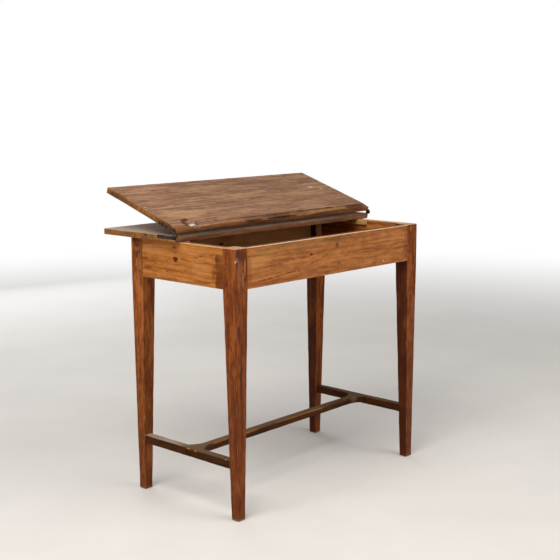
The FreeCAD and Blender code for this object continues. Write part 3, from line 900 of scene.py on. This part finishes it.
class WRITINGTABLE_OT_stretchers(bpy.types.Operator):
    """Make the two side stretchers and the long one with its flared ends"""
    bl_idname = "writing_table.stretchers"
    bl_label = "Stretchers"

    def execute(self, context):
        look = settings().stretcher_wood
        chip = paint(206, 128, 58)
        seeds = {"stretcher_left": (1.1, 2.9, 6.6), "stretcher_right": (9.3, 4.8, 2.1)}
        marks = {
            "stretcher_left": [
                ((-57, 158, -375), (9, 3.5, 5), chip, 0.95),
                ((-84, 157, -375), (5, 2.5, 4), chip, 0.7),
                ((-55, 148, -375), (15, 6, 4), look.streak, 0.75),
                ((-199, 160, -375), (5, 3, 5), WHITE_CHIP, 0.9),
                ((120, 159, -364), (12, 5, 10), look.dusty, 0.8),
            ],
            "stretcher_right": [],
        }
        for node, seed in seeds.items():
            low, high = span(node, 0)
            bottom, top = span(node, 2)
            start = leg_section("leg_front_left", (bottom + top) / 2)[3] - SIDE_TENON_START
            stop = leg_section("leg_back_left", (bottom + top) / 2)[2] + SIDE_TENON_START
            bar = hewn("bar_" + node, node, (start, stop), even(bottom, top, low, high), SIDE_STEPS, look,
                       lay_along_y, seed)
            dust_and_light_drifts = [(0, -60, 20, paint(168, 150, 128))] if node == "stretcher_left" else []
            coat(bar, wood("finish_" + node, look, seed,
                           ((bottom + top) / 2 / MM - 20, (low + high) / 2 / MM + 12),
                           marks=marks[node], wear=0.85, dust=(look.dusty, 0.85), dust_and_light_drifts=dust_and_light_drifts))
        middle_y = (span("leg_front_left", 1)[0] + span("leg_back_left", 1)[1]) / 2
        inner = span("stretcher_right", 0)[0]
        bottom, top = span("stretcher_long", 2)
        rise = WIDE_HALF - SLIM_HALF
        radius = (FLARE_LENGTH ** 2 + rise ** 2) / (2 * rise)

        def section(run):
            into = abs(run) - (inner - FLARE_LENGTH)
            half = SLIM_HALF
            if into > 0:
                into = min(into, FLARE_LENGTH)
                half += radius - math.sqrt(radius ** 2 - into ** 2)
            return (-half, half, bottom, top)

        def lay(point):
            share = (point.x + inner) / (2 * inner)
            centre = middle_y + LONG_ENDS[0] + (LONG_ENDS[1] - LONG_ENDS[0]) * share
            return Vector((point.x, centre + point.y, point.z))

        def carve(point, raw):
            # the front arris is worn, most in the middle
            worn = WORN_ARRIS * (0.8 + 0.6 * noise.noise(Vector((raw.x * 12, 3.1, 5.7))))
            half = -section(raw.x)[0]
            fade = max(0.0, 1 - abs(raw.x) / inner) ** 0.3
            return roll(point, raw.y + half, top - raw.z, max(LEAST_WORN, worn * fade)), 0.0

        seed = (5.2, 7.3, 3.9)
        flares = [(0, 50 * MM, 2.5 * MM), (2 * inner - 48 * MM, 2 * inner, 2.5 * MM)]
        arris_rows = ([(0, 6 * MM, 1 * MM)], [(13 * MM, 20 * MM, 1 * MM)])
        reach = inner + LONG_TENON_START
        bar = hewn("bar_stretcher_long", "stretcher_long", (-reach, reach), section, LONG_STEPS, look, lay,
                   seed, carve=carve, close=(flares,) + arris_rows)
        marks = [
            ((130, -11, 158), (70, 3, 4), chip, 0.55),
            ((20, -11, 158), (70, 3, 4), chip, 0.4),
            ((-150, -11, 158), (60, 3, 4), chip, 0.5),
            ((-265, -13, 158), (40, 4, 5), chip, 0.6),
            ((322, -24, 152), (22, 18, 14), paint(106, 90, 84), 0.75),
        ]
        coat(bar, wood("finish_stretcher_long", look, seed, (12, 130), marks=marks, wear=0.5,
                       dust=(look.dusty, 0.9)))
        return {"FINISHED"}


class WRITINGTABLE_OT_compartment(bpy.types.Operator):
    """Give the compartment's floor boards, ledgers and cleats their wood"""
    bl_idname = "writing_table.compartment"
    bl_label = "Compartment"

    def execute(self, context):
        look = settings().inner_wood
        for number in (1, 2, 3):
            seed = (number * 2.7, number * 1.3, number * 4.9)
            pith = (number * 110 - 250, 590)
            coat_node("floor_board_%d" % number,
                      wood("finish_floor_board_%d" % number, look, seed, pith, griming=0.6, source="xyz",
                           dust=(paint(120, 104, 88), 0.35)))
        ledger = wood("finish_ledgers", look, (3, 8, 1), (300, 640), source="yxz")
        coat_node("floor_ledger_left", ledger)
        coat_node("floor_ledger_right", ledger)
        cleat = wood("finish_cleats", look, (6, 2, 7), (330, 690), look.cleat_light, look.cleat_dark,
                     streaking=0.15, griming=0.1, source="yxz")
        coat_node("cleat_left", cleat)
        coat_node("cleat_right", cleat)
        return {"FINISHED"}


# Leaves

# The front leaf is drawn about the hinges' pins, and turned up as in the pose at rest
PIN = Vector(frame["joints"][0]["pos_m"])
REST_ANGLE = math.radians(18.2)
PIN_RISE = 3.2 * MM
PIN_FORWARD = 0.8 * MM
FRONT_LEAF_THICKNESS = 16.2 * MM
FRONT_LEAF_STEPS = (5 * MM, 7 * MM, 3 * MM)
REAR_LEAF_STEPS = (8 * MM, 8 * MM, 4 * MM)
PLATE_LENGTH = 69.4 * MM
PLATE_HEIGHT = 9.8 * MM
PLATE_DEPTH = 3.05 * MM
REAR_ARRIS = 5 * MM

# The front leaf's worn strip and the crack behind it, their places measured from the left end
CARVED_ABOVE = 0.55
CARVED_DEPTH = 80 * MM
WANE_START = 90 * MM
WANE_WIDTH = 21 * MM
WANE_WANDER = (3 * MM, 1.2 * MM)
WANE_DROP = 3.6 * MM
WANE_FADE = 9 * MM
START_WANDER = 6 * MM
CRACK_HALF = 2.4 * MM
CRACK_DEPTH = 2.0 * MM
CROSS_CRACK_DEPTH = 1.6 * MM
WIDE_ARRIS = 7 * MM
NARROW_ARRIS = 3 * MM
NARROWING = (250 * MM, 60 * MM)

# The hollow that a fallen knot has left in the front leaf, and the splinters in its middle
KNOT_PLACE = Vector((74 * MM, 28 * MM))
KNOT_RADIUS = 29 * MM
KNOT_DEPTH = 5.6 * MM
SPLINTER_PLACE = Vector((79 * MM, 20 * MM))
SPLINTER_RADIUS = 15 * MM
SPLINTER_RISE = 1.6 * MM
FIBRE_HEIGHT = 0.9 * MM


def pocket(point, raw, length, low, high):
    """Cuts the end of a leaf back for a hinge plate."""
    if raw.y < PLATE_LENGTH and low < raw.z < high:
        point.x = min(max(point.x, -length / 2 + PLATE_DEPTH), length / 2 - PLATE_DEPTH)
    return point


class WRITINGTABLE_OT_rear_leaf(bpy.types.Operator):
    """Make the fixed rear leaf, dusty on top"""
    bl_idname = "writing_table.rear_leaf"
    bl_label = "Rear leaf"

    def execute(self, context):
        look = settings().leaf_wood
        low, high = span("rear_leaf", 0)
        front, back = span("rear_leaf", 1)
        bottom, top = span("rear_leaf", 2)
        length, depth, thickness = high - low, back - front, top - bottom
        seed = (4.4, 8.8, 1.6)

        def carve(point, raw):
            wobble = 0.8 + 0.5 * noise.noise(Vector((raw.x * 14, 2.2, 7.1)))
            point = roll(point, raw.y, thickness - raw.z, REAR_ARRIS * wobble)
            return pocket(point, raw, length, thickness - PLATE_HEIGHT, math.inf), 0.0

        def lay(point):
            return Vector((point.x, front + point.y, bottom + point.z))

        close = ([around(PLATE_DEPTH), around(length - PLATE_DEPTH)],
                 [(0, 6 * MM, 0.75 * MM), around(PLATE_LENGTH)], [around(thickness - PLATE_HEIGHT)])
        leaf = hewn("board_rear_leaf", "rear_leaf", (-length / 2, length / 2), even(0, depth, 0, thickness),
                    REAR_LEAF_STEPS, look, lay, seed, close=close, carve=carve)
        marks = [
            ((-398, 187, 10), (10, 26, 7), look.streak, 0.55),
            ((-398, 120, 4), (10, 20, 5), look.streak, 0.6),
            ((-398, 92, 12), (10, 9, 6), look.streak, 0.7),
            ((-398, 117, 14), (10, 10, 6), paint(84, 46, 16), 0.95),
        ]
        # the dust is pale at the back and grey on the arris; in the gap between the leaves it is paler still, dust
        # with painted light that lifts the shade of the gap
        dust_and_light_drifts = [(1, 60, 200, paint(186, 168, 148)), (1, 44, 18, paint(202, 188, 170)),
                  (1, 6, 4, paint(82, 70, 58))]
        coat(leaf, wood("finish_rear_leaf", look, seed, (150, -60), knots=[(-120, 180, 7)], marks=marks,
                        wear=0.1, dust=(look.dusty, 0.95), dust_and_light_drifts=dust_and_light_drifts,
                        ends=(-length / 2 / MM, length / 2 / MM, look.edge),
                        faces=(0, depth / MM, paint(122, 74, 46), 0.85)))
        return {"FINISHED"}


TAN = paint(186, 142, 102)
PALE = paint(206, 178, 150)
SHADE_AND_STREAK = paint(74, 40, 16)
RED = paint(140, 58, 50)
GREY = paint(104, 80, 72)
BROWN = paint(128, 74, 36)
BLACK = paint(38, 22, 10)
MAUVE = paint(150, 112, 94)
OCHRE = paint(178, 142, 100)
ROSY = paint(160, 102, 78)
EDGE_SHADE = paint(92, 62, 50)


# The front leaf's marks: colour on its face, its worn strip and the left end, and painted shade and shadow in the
# knot's hollow
FRONT_LEAF_MARKS = [
    *oval_marks(16, 9, [
        (-300, 80, 95, 30, TAN, 0.5), (5, 160, 70, 20, OCHRE, 0.3),
        (20, 94, 110, 20, ROSY, 0.2), (-320, 215, 80, 20, ROSY, 0.18),
        (-150, 264, 66, 16, GREY, 0.5), (-50, 262, 70, 10, GREY, 0.4),
        (130, 250, 105, 16, GREY, 0.5), (128, 200, 32, 14, GREY, 0.45),
        (66, 195, 20, 10, GREY, 0.4), (-80, 28, 110, 14, GREY, 0.4),
        (20, 76, 64, 7, GREY, 0.35), (-175, 148, 36, 10, GREY, 0.45),
        (-97, 150, 13, 5, GREY, 0.6), (-358, 183, 20, 8, GREY, 0.5),
        (-152, 70, 10, 12, GREY, 0.4), (-82, 38, 5, 9, GREY, 0.45),
        (172, 92, 26, 8, GREY, 0.4), (300, 50, 110, 22, GREY, 0.3),
        (-268, 249, 11, 4, RED, 0.7), (-284, 259, 4, 2, RED, 0.6),
        (313, 177, 13, 9, PALE, 0.6), (346, 160, 7, 8, PALE, 0.4),
        (-385, 143, 5, 4, PALE, 0.4),
    ]),
    ((-380, 5, 15), (60, 5, 9), BROWN, 0.85),
    *oval_marks(14, 9, [
        (-200, 10, 100, 11, paint(140, 98, 62), 0.6), (-96, 11, 70, 13, paint(110, 76, 48), 0.85),
        (0, 11, 70, 14, paint(88, 62, 38), 0.95), (92, 12, 60, 13, paint(116, 80, 50), 0.9),
        (222, 12, 100, 13, paint(136, 100, 58), 0.85), (345, 12, 60, 16, paint(84, 50, 28), 0.95),
    ]),
    *oval_marks(16.2, 4, [
        (-222, 1.8, 120, 4.2, paint(112, 62, 28), 0.9), (-108, 2.6, 46, 5, paint(66, 36, 14), 0.95),
        (262, 2, 170, 4.6, paint(90, 48, 18), 0.95),
    ]),
    ((-320, 38, 12), (20, 18, 9), MAUVE, 0.85),
    # painted shade in the knot's hollow: the dark crescent inside its rim and the shade beside its splinters, and
    # a black painted shadow under them at the hollow's lip; the pale marks are the splinters
    *oval_marks(14, 9, [
        (-346, 20, 11, 16, SHADE_AND_STREAK, 1.0), (-340, 36, 13, 13, SHADE_AND_STREAK, 1.0),
        (-326, 49, 13, 8, SHADE_AND_STREAK, 0.9), (-308, 22, 8, 9, SHADE_AND_STREAK, 0.6),
        (-325, 20, 13, 9, paint(204, 190, 176), 0.95), (-339, 20, 11, 6, paint(184, 164, 138), 0.95),
        (-332, 23, 4, 4, SHADE_AND_STREAK, 0.5), (-314, 28, 9, 6, paint(166, 138, 104), 0.7),
        (-348, 8, 10, 5, BLACK, 1.0), (-333, 9, 9, 4, BLACK, 1.0),
    ]),
    ((0, 3, 16.2), (86, 4.4, 4), BLACK, 1.0), ((-398, 262, 6), (10, 26, 7), BLACK, 0.5),
    ((-398, 236, 10), (10, 56, 12), paint(100, 66, 38), 0.75), ((-402, 36, 14), (10, 40, 5), SHADE_AND_STREAK, 0.7),
]
FRONT_LEAF_STROKES = [
    ((283, 290), (266, 236), 1.3, PALE, 0.7), ((292, 193), (330, 215), 1.2, PALE, 0.6),
    ((-335, 186), (-222, 180), 1.6, GREY, 0.7), ((-356, 119), (-228, 108), 1.6, GREY, 0.65),
    ((-50, 106), (110, 80), 1.5, PALE, 0.3), ((123, 214), (304, 180), 1.8, GREY, 0.65),
    ((-35, 126), (230, 128), 1.8, GREY, 0.55), ((-120, 226), (130, 222), 1.6, GREY, 0.4),
    ((-380, 60), (-200, 56), 1.5, BROWN, 0.3), ((150, 60), (390, 70), 1.8, GREY, 0.5),
    # painted shade along the crack behind the worn strip, then streaks of fibre in the knot's hollow
    ((-300, 18), (-225, 25), 3.0, SHADE_AND_STREAK, 0.8), ((-230, 21), (-60, 21), 3.6, SHADE_AND_STREAK, 0.7),
    ((-120, 21), (470, 20), 6.0, SHADE_AND_STREAK, 1.0), ((-314, 48), (-336, 26), 1.7, SHADE_AND_STREAK, 0.9),
    ((-306, 42), (-326, 26), 1.5, SHADE_AND_STREAK, 0.8), ((-322, 52), (-344, 30), 1.5, SHADE_AND_STREAK, 0.9),
    # a black painted shadow under the hollow's lip, and painted shade in the cracks across the worn strip
    ((-358, 11), (-328, 8), 3.0, BLACK, 1.0), ((-4, 25), (-12, 2), 2.6, BLACK, 1.0),
    ((48, 25), (41, 3), 2.4, BLACK, 0.9), ((166, 25), (158, 3), 2.6, BLACK, 1.0),
]


class WRITINGTABLE_OT_front_leaf(bpy.types.Operator):
    """Make the folding front leaf with its wane, crack and fallen knot"""
    bl_idname = "writing_table.front_leaf"
    bl_label = "Front leaf"

    def execute(self, context):
        look = settings().leaf_wood
        low, high = span("front_leaf", 0)
        length = high - low
        # both leaves are equally deep
        depth = span("rear_leaf", 1)[1] - span("rear_leaf", 1)[0]
        thickness = FRONT_LEAF_THICKNESS
        seed = (2.2, 5.6, 9.4)
        turn = Matrix.Rotation(REST_ANGLE, 3, "X")

        def lay(point):
            return PIN + turn @ Vector((point.x, PIN_FORWARD + point.y, PIN_RISE + point.z))

        def carve(point, raw):
            point = pocket(point, raw, length, -math.inf, PLATE_HEIGHT)
            run = raw.x + length / 2
            hollow = 0.0
            if raw.z < thickness * CARVED_ABOVE or raw.y > CARVED_DEPTH:
                return point, hollow
            lift = (raw.z - thickness * CARVED_ABOVE) / (thickness * (1 - CARVED_ABOVE))
            # the wane: a worn strip in front of a long crack
            wander = WANE_WANDER[0] * noise.noise(Vector((raw.x * 9, 1.7, 0)))
            wander += WANE_WANDER[1] * noise.noise(Vector((raw.x * 60, 8.1, 0)))
            border = WANE_WIDTH + wander
            start = run - WANE_START - START_WANDER * noise.noise(Vector((raw.y * 90, 3.3, 0)))
            if start > 0:
                fade = min(1.0, start / WANE_FADE)
                if raw.y < border:
                    drop = WANE_DROP * (0.28 + 0.72 * (1 - raw.y / border) ** 1.3)
                    point.z -= drop * fade * lift
                gap = abs(raw.y - border)
                if gap < CRACK_HALF:
                    groove = 0.65 + 0.45 * noise.noise(Vector((raw.x * 30, 5.5, 2)))
                    groove *= 1 - gap / CRACK_HALF
                    point.z -= CRACK_DEPTH * groove * fade * lift
                    hollow = max(hollow, 2.6 * groove * fade)
                cross = max(0.0, noise.noise(Vector((raw.x * 42, 9.9, 4))) - 0.52) * 3
                if raw.y < border and cross > 0:
                    point.z -= CROSS_CRACK_DEPTH * cross * fade * lift
                    hollow = max(hollow, 2.2 * min(1.0, cross * 1.5))
            # the hollow that a fallen knot has left
            away = Vector((run, raw.y)) - KNOT_PLACE
            away.x *= 1.12
            away.y *= 0.72 if away.y < 0 else 1.0
            reach = away.length / KNOT_RADIUS + 0.14 * noise.noise(Vector((raw.x * 70, raw.y * 70, 6)))
            if reach < 1:
                lean = away.x / KNOT_RADIUS
                cup = (1 - reach * reach) ** (1.0 - 0.3 * lean)
                fibres = FIBRE_HEIGHT * noise.noise(Vector((raw.x * 160 + raw.y * 90, raw.y * 260, 3)))
                # splintered fibres stand up in the middle of the hollow
                splinter = (Vector((run, raw.y)) - SPLINTER_PLACE).length / SPLINTER_RADIUS
                rise = SPLINTER_RISE * max(0.0, 1 - splinter * splinter)
                depth_here = min(KNOT_DEPTH, KNOT_DEPTH * cup * (1.15 - 0.3 * lean))
                point.z -= (max(0.0, depth_here - rise) + fibres * cup) * lift
                hollow = max(hollow, min(1.0, 1.8 * cup) * max(0.15, min(1.0, 0.75 - 0.8 * lean)))
            wobble = 0.85 + 0.4 * noise.noise(Vector((raw.x * 16, 4.2, 1)))
            narrowed = min(1.0, max(0.0, (run - NARROWING[0]) / NARROWING[1]))
            radius = WIDE_ARRIS - (WIDE_ARRIS - NARROW_ARRIS) * narrowed
            return roll(point, raw.y, thickness - raw.z, radius * wobble), hollow

        knot_rows = (44 * MM, 104 * MM, 1.5 * MM)
        wane_rows = (3 * MM, 48 * MM, 0.9 * MM)
        close = ([around(PLATE_DEPTH), around(length - PLATE_DEPTH), knot_rows],
                 [around(PLATE_LENGTH), wane_rows], [around(PLATE_HEIGHT)])
        leaf = hewn("board_front_leaf", "front_leaf", (-length / 2, length / 2), even(0, depth, 0, thickness),
                    FRONT_LEAF_STEPS, look, lay, seed, close=close, carve=carve)
        marks = FRONT_LEAF_MARKS + [
            ((-398, 110, 4), (10, 30, 5), look.streak, 0.6),
            ((-398, 76, 12), (10, 12, 6), look.streak, 0.5),
        ]
        coat(leaf, wood("finish_front_leaf", look, seed, (210, -90), knots=[(-322, 30, 16)], marks=marks,
                        strokes=FRONT_LEAF_STROKES, lined=1.7, lively=0.85, wear=0.3,
                        ends=(-length / 2 / MM, length / 2 / MM, look.edge),
                        faces=(0, depth / MM, look.face, 0.9),
                        hollow=(paint(90, 56, 36), paint(146, 106, 88)),
                        bands=[(1, 287, 290, EDGE_SHADE, 0.8), (0, 396, 400, EDGE_SHADE, 0.7)]))
        return {"FINISHED"}


# Iron

def islands(node):
    """Lowest and highest corner of every loose solid of a node."""
    mesh = frame["nodes"][node].data
    parent = list(range(len(mesh.vertices)))

    def root(index):
        while parent[index] != index:
            parent[index] = parent[parent[index]]
            index = parent[index]
        return index

    seen = {}
    for vertex in mesh.vertices:
        key = tuple(round(part, 6) for part in vertex.co)
        parent[root(vertex.index)] = root(seen.setdefault(key, vertex.index))
    for edge in mesh.edges:
        parent[root(edge.vertices[0])] = root(edge.vertices[1])
    boxes = {}
    for vertex in mesh.vertices:
        low, high = boxes.setdefault(root(vertex.index), [vertex.co.copy(), vertex.co.copy()])
        for axis in range(3):
            low[axis] = min(low[axis], vertex.co[axis])
            high[axis] = max(high[axis], vertex.co[axis])
    return [(Vector(low), Vector(high)) for low, high in boxes.values()]


SCREW_STEPS = 10
SHANK_SHARE = 0.5


def slotted_screw(points, faces, head, out, reach, radius, depth, slot, turn):
    """Adds a countersunk screw: a head split by its slot, the cone below it and the point."""
    across = out.orthogonal().normalized()
    upright = out.cross(across)
    half = slot[0] / 2
    corner = math.asin(half / radius)
    angles = [corner + (math.pi - 2 * corner) * index / SCREW_STEPS for index in range(SCREW_STEPS + 1)]
    angles += [math.pi + part for part in angles]

    def put(x, y, z):
        spun_x = x * math.cos(turn) - y * math.sin(turn)
        spun_y = x * math.sin(turn) + y * math.cos(turn)
        points.append(head + across * spun_x + upright * spun_y + out * z)
        return len(points) - 1

    count = len(angles)
    last = SCREW_STEPS
    rim = [put(radius * math.cos(a), radius * math.sin(a), 0) for a in angles]
    faces.append(rim[:last + 1])
    faces.append(rim[last + 1:])
    reach_x = radius * math.cos(corner)
    floor = [put(reach_x, half, -slot[1]), put(-reach_x, half, -slot[1]),
             put(-reach_x, -half, -slot[1]), put(reach_x, -half, -slot[1])]
    faces.append(list(floor))
    faces.append([rim[0], rim[last], floor[1], floor[0]])
    faces.append([rim[last + 1], rim[-1], floor[3], floor[2]])
    waist = SHANK_SHARE * radius
    shank = [put(waist * math.cos(a), waist * math.sin(a), -depth) for a in angles]
    tip = put(0, 0, -reach)
    for index in range(count):
        after = (index + 1) % count
        if index in (last, count - 1):
            inner = (floor[1], floor[2]) if index == last else (floor[3], floor[0])
            faces.append([rim[index], *inner, rim[after]])
        faces.append([rim[after], rim[index], shank[index], shank[after]])
        faces.append([shank[after], shank[index], tip])


FIRST_TURN = 0.7
TURN_STEP = 1.9


def screws(node, axis_of, radius, depth, look):
    """Slotted screws in the places of a node's screws."""
    points = []
    faces = []
    for number, (low, high) in enumerate(islands(node)):
        middle = (low + high) / 2
        out = axis_of(low, high)
        axis = max(range(3), key=lambda part: abs(out[part]))
        length = high[axis] - low[axis]
        head = middle + out * (length / 2)
        slotted_screw(points, faces, head, out, length, radius, depth, (look.slot_width, look.slot_depth),
                      FIRST_TURN + number * TURN_STEP)
    mesh = bpy.data.meshes.new("screws_" + node)
    mesh.from_pydata(points, [], faces)
    mesh.update()
    return seat("screws_" + node, mesh, node)


def hinge_screw_out(low, high):
    return Vector((math.copysign(1, low.x + high.x), 0, 0))


def cleat_screw_out(low, high):
    if high.z - low.z > high.x - low.x:
        return Vector((0, 0, -1))
    return Vector((-math.copysign(1, low.x + high.x), 0, 0))


# For each piece of a hinge how far it is rubbed bare, and two places of a seed
HINGE_LOOKS = (("rear_plate_", 0.2, 1, 2), ("front_plate_", 0.25, 5, 4), ("pin_", 0.5, 7, 3))


class WRITINGTABLE_OT_hinges(bpy.types.Operator):
    """Give the hinge plates and pins rusty iron"""
    bl_idname = "writing_table.hinges"
    bl_label = "Hinges"

    def execute(self, context):
        look = settings().old_iron
        for side, shift in (("left", 0.0), ("right", 3.0)):
            for piece, rubbed, y, z in HINGE_LOOKS:
                material = iron("finish_" + piece + side, look, rubbed, (shift, y, z))
                coat_node("hinge_" + piece + side, material)
        return {"FINISHED"}


class WRITINGTABLE_OT_fasteners(bpy.types.Operator):
    """Make the slotted screws and give the nails their iron"""
    bl_idname = "writing_table.fasteners"
    bl_label = "Screws and nails"

    def execute(self, context):
        look = settings().old_iron
        bright = iron("finish_screws", look, 0.7, (2, 2, 2))
        for node in ("hinge_screws_rear", "hinge_screws_front"):
            coat(screws(node, hinge_screw_out, 3.0 * MM, 1.9 * MM, look), bright)
        coat(screws("cleat_screws", cleat_screw_out, 3.4 * MM, 2.2 * MM, look), bright)
        coat_node("floor_nails", iron("finish_nails", look, 0.3, (6, 1, 1)))
        return {"FINISHED"}


# Studio: each lamp's direction from the table, its size and its colour

LAMPS = {
    "key": ((-1.0, -0.3, 1.2), 1.9, (1.0, 0.97, 0.93)),
    "front": ((0.2, -1.0, 1.2), 1.9, (1.0, 0.98, 0.95)),
    "low": ((0.1, -1.0, 0.22), 2.2, (1.0, 0.96, 0.9)),
    "back": ((0.3, 1.0, 0.3), 2.4, (0.97, 0.98, 1.0)),
}
LAMP_DISTANCE = 3.3
LAMP_TARGET = Vector((0, 0, 0.45))
FLOOR_REACH = 30.0
SENSOR_WIDTH = 36.0


class WRITINGTABLE_OT_stage(bpy.types.Operator):
    """Make the pale floor, the soft lamps and the camera"""
    bl_idname = "writing_table.stage"
    bl_label = "Studio"

    def execute(self, context):
        studio = settings().studio
        scene = context.scene
        scene.view_settings.view_transform = "Standard"
        mesh = bpy.data.meshes.new("studio_floor")
        corners = [(x * FLOOR_REACH, y * FLOOR_REACH, 0) for x, y in ((-1, -1), (1, -1), (1, 1), (-1, 1))]
        mesh.from_pydata(corners, [], [(0, 1, 2, 3)])
        floor = bpy.data.objects.new("studio_floor", mesh)
        scene.collection.objects.link(floor)
        f = Finish("finish_floor")
        place = f.place()
        mottle = f.grain(place, (3, 3, 3), 4.0, 0.6)
        f.close(f.mix(studio.floor, shade(studio.floor, 0.93), mottle.rise(0.35, 0.65) * 0.5), 0.75)
        # far away the camera sees plain white
        far = place.length().rise(1.6, 5.0)
        light = f.node("ShaderNodeLightPath", {}, {}, 0)
        white = f.node("ShaderNodeEmission", {}, {"Color": (1, 1, 1), "Strength": 1.0})
        surface = Field(f, f.shader.outputs[0])
        blend = f.node("ShaderNodeMixShader", {}, {0: far * light, 1: surface, 2: white})
        f.tree.links.new(blend.socket, f.tree.nodes["Material Output"].inputs["Surface"])
        floor.data.materials.append(f.material)
        floor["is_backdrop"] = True

        world = bpy.data.worlds.new("studio_world")
        world.use_nodes = True
        scene.world = world
        tree = world.node_tree
        soft = tree.nodes["Background"]
        soft.inputs["Color"].default_value = (1.0, 0.985, 0.965, 1.0)
        soft.inputs["Strength"].default_value = studio.ambient
        bright = tree.nodes.new("ShaderNodeBackground")
        bright.inputs["Color"].default_value = (1, 1, 1, 1)
        bright.inputs["Strength"].default_value = 1.0
        path = tree.nodes.new("ShaderNodeLightPath")
        joined = tree.nodes.new("ShaderNodeMixShader")
        tree.links.new(path.outputs["Is Camera Ray"], joined.inputs[0])
        tree.links.new(soft.outputs[0], joined.inputs[1])
        tree.links.new(bright.outputs[0], joined.inputs[2])
        tree.links.new(joined.outputs[0], tree.nodes["World Output"].inputs["Surface"])

        for name, (direction, size, colour) in LAMPS.items():
            lamp = bpy.data.lights.new(name + "_lamp", "AREA")
            lamp.shape = "SQUARE"
            lamp.size = size
            lamp.energy = getattr(studio, name)
            lamp.color = colour
            holder = bpy.data.objects.new(name + "_lamp", lamp)
            holder.location = LAMP_TARGET + Vector(direction).normalized() * LAMP_DISTANCE
            holder.rotation_euler = (LAMP_TARGET - holder.location).to_track_quat("-Z", "Y").to_euler()
            scene.collection.objects.link(holder)

        lens = bpy.data.cameras.new("camera")
        lens.sensor_fit = "HORIZONTAL"
        lens.sensor_width = SENSOR_WIDTH
        lens.lens = studio.focal
        lens.dof.use_dof = False
        camera = bpy.data.objects.new("camera", lens)
        turn = Matrix.Rotation(-studio.heading, 4, "Z") @ Matrix.Rotation(math.pi / 2 + studio.pitch, 4, "X")
        turn = turn @ Matrix.Rotation(studio.roll, 4, "Z")
        camera.matrix_world = Matrix.Translation(Vector(studio.camera_place)) @ turn
        scene.collection.objects.link(camera)
        scene.camera = camera
        return {"FINISHED"}


class WRITINGTABLE_PT_panel(bpy.types.Panel):
    """Buttons for the pieces of the writing table"""
    bl_idname = "WRITINGTABLE_PT_panel"
    bl_label = "Writing Table"
    bl_space_type = "VIEW_3D"
    bl_region_type = "UI"
    bl_category = "Writing Table"

    def draw(self, context):
        for operator in OPERATORS:
            self.layout.operator(operator.bl_idname)
        table = context.scene.writing_table
        for group in (table.frame_wood, table.leaf_wood, table.stretcher_wood, table.inner_wood,
                      table.old_iron, table.studio):
            box = self.layout.box()
            for name in group.bl_rna.properties.keys():
                if name not in ("rna_type", "name"):
                    box.prop(group, name)


OPERATORS = (
    WRITINGTABLE_OT_legs,
    WRITINGTABLE_OT_aprons,
    WRITINGTABLE_OT_pegs,
    WRITINGTABLE_OT_stretchers,
    WRITINGTABLE_OT_compartment,
    WRITINGTABLE_OT_rear_leaf,
    WRITINGTABLE_OT_front_leaf,
    WRITINGTABLE_OT_hinges,
    WRITINGTABLE_OT_fasteners,
    WRITINGTABLE_OT_stage,
)
CLASSES = (
    FrameWoodSettings,
    LeafWoodSettings,
    StretcherWoodSettings,
    InnerWoodSettings,
    OldIronSettings,
    StudioSettings,
    WritingTableSettings,
) + OPERATORS + (WRITINGTABLE_PT_panel,)


def register():
    for part in CLASSES:
        bpy.utils.register_class(part)
    bpy.types.Scene.writing_table = PointerProperty(type=WritingTableSettings)


def unregister():
    del bpy.types.Scene.writing_table
    for part in reversed(CLASSES):
        bpy.utils.unregister_class(part)


def main():
    register()
    bpy.ops.writing_table.legs()
    bpy.ops.writing_table.aprons()
    bpy.ops.writing_table.pegs()
    bpy.ops.writing_table.stretchers()
    bpy.ops.writing_table.compartment()
    bpy.ops.writing_table.rear_leaf()
    bpy.ops.writing_table.front_leaf()
    bpy.ops.writing_table.hinges()
    bpy.ops.writing_table.fasteners()
    bpy.ops.writing_table.stage()
    bpy.context.view_layer.update()
    boxes = {"cad": cad_box, "visual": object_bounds()}
    {name: [list(corner) for corner in box] for name, box in boxes.items()}


if __name__ == "__main__":
    main()
